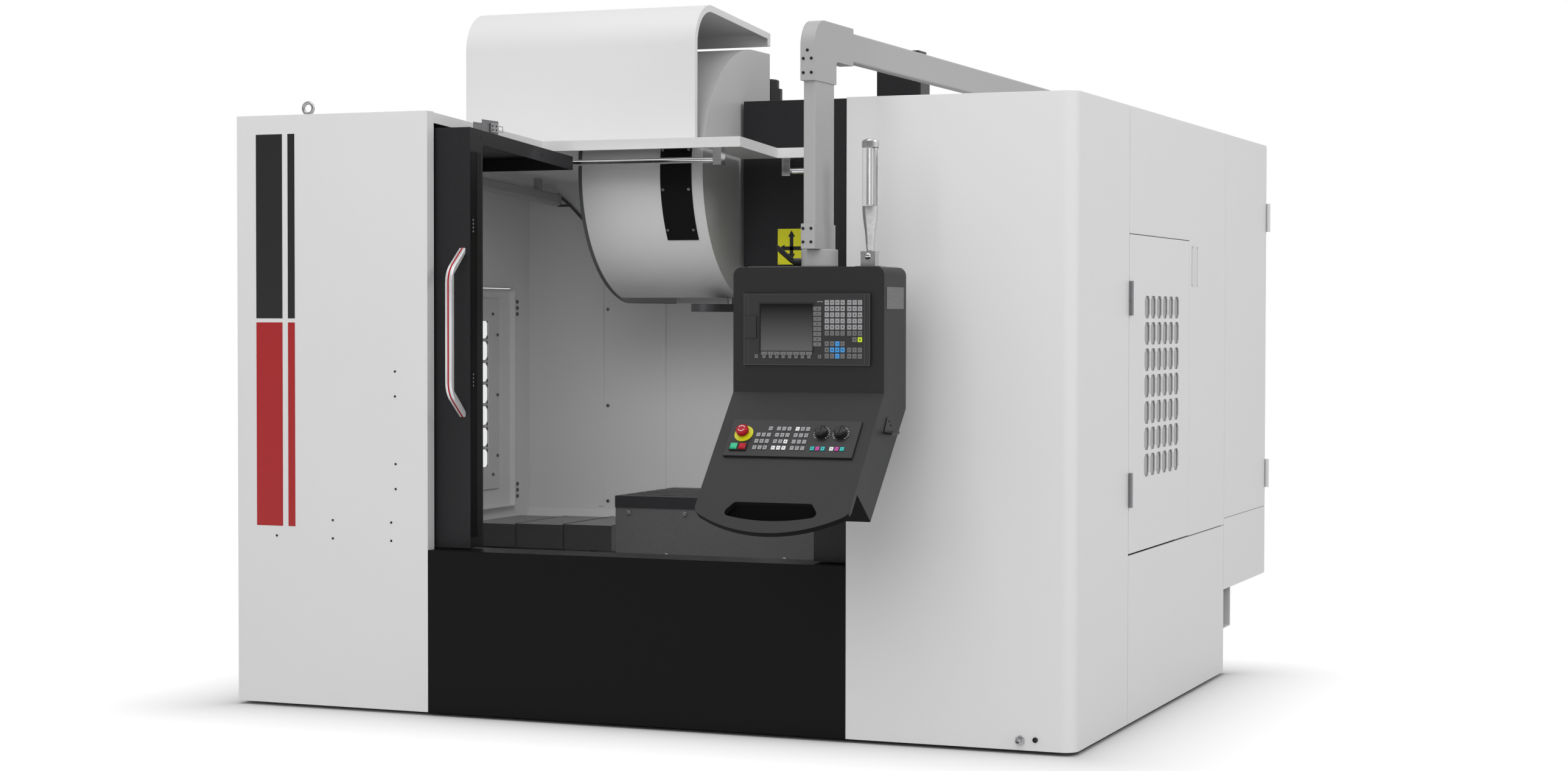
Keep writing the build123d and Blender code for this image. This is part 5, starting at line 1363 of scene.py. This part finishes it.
def lay_floor():
    """A pale floor that keeps the machine's shadow and pales to white further out."""
    clear_selection()
    bpy.ops.mesh.primitive_plane_add(size=2 * sizes().floor_reach, location=(0, 0, 0))
    floor = bpy.context.object
    floor.name = "studio_floor"
    tree, shader = new_paint("floor", "Studio floor", (0.5, 0.5, 0.5), 0.9)
    parts = split(tree, object_place(tree))
    low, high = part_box("left_front_panel")[0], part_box("right_side_wall")[1]
    squares = []
    for axis, first, last in (("X", low.x, high.x), ("Y", low.y, high.y)):
        off = sum_of(tree, "ABSOLUTE", sum_of(tree, "SUBTRACT", parts[axis], (first + last) / 2))
        past = sum_of(tree, "MAXIMUM", sum_of(tree, "SUBTRACT", off, (last - first) / 2))
        squares.append(sum_of(tree, "MULTIPLY", past, past))
    away = sum_of(tree, "SQRT", sum_of(tree, "ADD", *squares))
    far = sum_of(tree, "POWER", span(tree, away, 0.0, 0.5, 0.0, 1.0), 0.4)
    glow = tree.nodes.new("ShaderNodeEmission")
    share = sum_of(tree, "MULTIPLY", far, seen_rays(tree)[1])
    blend_surface(tree, share, shader, glow, "Material Output")
    floor.data.materials.append(paints["floor"])


def light_world():
    """An even dome, white to the camera, with a dimmer front for reflections."""
    world = bpy.data.worlds.new("Studio dome")
    bpy.context.scene.world = world
    world.use_nodes = True
    tree = world.node_tree
    dome, white = tree.nodes["Background"], tree.nodes.new("ShaderNodeBackground")
    for node in (dome, white):
        node.inputs["Color"].default_value = (1, 1, 1, 1)
    dome.inputs["Strength"].default_value = 0.58
    parts = split(tree, tree.nodes.new("ShaderNodeTexCoord").outputs["Generated"])
    front = span(tree, parts["Y"], -0.85, 0.1, 0.22, 1.0)
    above = span(tree, parts["Z"], 0.35, 0.8, 0.0, 1.0)
    camera, seen = seen_rays(tree)
    studio = sum_of(tree, "MAXIMUM", camera, sum_of(tree, "MAXIMUM", front, above))
    tree.links.new(studio, white.inputs["Strength"])
    blend_surface(tree, seen, dome, white, "World Output")


def hang_lamps():
    """Three soft lamps round the machine and two that fill the work chamber."""
    soft_lamp("key_lamp", (1.6, -10.0, 4.6), (0.0, -0.5, 1.0), 6.0, 320)
    soft_lamp("side_lamp", (8.5, -1.0, 7.0), (1.4, 0.3, 2.4), 3.0, 190)
    soft_lamp("top_lamp", (0.0, -3.0, 7.0), (0.0, -0.8, 0.0), 4.0, 60)
    soft_lamp("roof_fill", at(-0.35, 0.45, 2.02), at(-0.6, 1.2, 0.9), 0.5, 4.5, 120)
    soft_lamp("door_fill", at(-0.3, 0.12, 1.1), at(-0.7, 1.6, 1.0), 0.7, 1.7, 130)


def soft_lamp(name, place, target, size, power, spread=180):
    """A square area lamp that looks at a target, with its light within a spread in degrees."""
    lamp = bpy.data.lights.new(name, "AREA")
    lamp.size = size
    lamp.energy = power
    lamp.spread = math.radians(spread)
    holder = bpy.data.objects.new(name, lamp)
    bpy.context.scene.collection.objects.link(holder)
    holder.location = place
    look = Vector(target) - Vector(place)
    holder.rotation_euler = look.to_track_quat("-Z", "Y").to_euler()
    holder.visible_camera = False
    holder.visible_glossy = 1 < size < 5


def set_camera():
    """The photograph's viewpoint."""
    data = bpy.data.cameras.new("camera")
    data.sensor_width = 36
    data.sensor_fit = "HORIZONTAL"
    data.lens = sizes().lens
    data.clip_end = 200
    camera = bpy.data.objects.new("camera", data)
    bpy.context.scene.collection.objects.link(camera)
    yaw, pitch, roll = (math.radians(angle) for angle in (21.9115, -1.4216, 0.0877))
    turn = (Matrix.Rotation(yaw, 4, "Z") @ Matrix.Rotation(math.pi / 2 + pitch, 4, "X")
            @ Matrix.Rotation(roll, 4, "Z"))
    camera.matrix_world = Matrix.Translation(at(4.0703, -8.6415, 1.4694)) @ turn
    bpy.context.scene.camera = camera


class MACHINE_PT_panel(bpy.types.Panel):
    """Lists the machine's pieces in order"""

    bl_idname = "MACHINE_PT_panel"
    bl_label = "Machining centre"
    bl_space_type = "VIEW_3D"
    bl_region_type = "UI"
    bl_category = "Machine"

    def draw(self, context):
        layout = self.layout
        for name in MachineColors.__annotations__:
            layout.prop(context.scene.machine_colors, name)
        for name in MachineSizes.__annotations__:
            layout.prop(context.scene.machine_sizes, name)
        for operator in OPERATORS:
            layout.operator(operator.bl_idname)


OPERATORS = (
    MACHINE_OT_paints, MACHINE_OT_structure, MACHINE_OT_enclosure, MACHINE_OT_table,
    MACHINE_OT_head, MACHINE_OT_magazine, MACHINE_OT_doors, MACHINE_OT_console,
    MACHINE_OT_panel_trim, MACHINE_OT_chamber_trim, MACHINE_OT_head_plate, MACHINE_OT_door_trim,
    MACHINE_OT_magazine_trim, MACHINE_OT_console_trim, MACHINE_OT_stage,
)
CLASSES = (MachineColors, MachineSizes, *OPERATORS, MACHINE_PT_panel)


def register():
    """Registers the classes and their settings."""
    for one in CLASSES:
        bpy.utils.register_class(one)
    bpy.types.Scene.machine_colors = bpy.props.PointerProperty(type=MachineColors)
    bpy.types.Scene.machine_sizes = bpy.props.PointerProperty(type=MachineSizes)


def unregister():
    """Takes the classes and settings away again."""
    del bpy.types.Scene.machine_colors
    del bpy.types.Scene.machine_sizes
    for one in reversed(CLASSES):
        bpy.utils.unregister_class(one)


def main():
    """Dresses the machine piece by piece."""
    register()
    bpy.ops.machine.paints()
    bpy.ops.machine.structure()
    bpy.ops.machine.enclosure()
    bpy.ops.machine.table()
    bpy.ops.machine.head()
    bpy.ops.machine.magazine()
    bpy.ops.machine.doors()
    bpy.ops.machine.console()
    bpy.ops.machine.panel_trim()
    bpy.ops.machine.chamber_trim()
    bpy.ops.machine.head_plate()
    bpy.ops.machine.door_trim()
    bpy.ops.machine.magazine_trim()
    bpy.ops.machine.console_trim()
    bpy.ops.machine.stage()


if __name__ == "__main__":
    main()
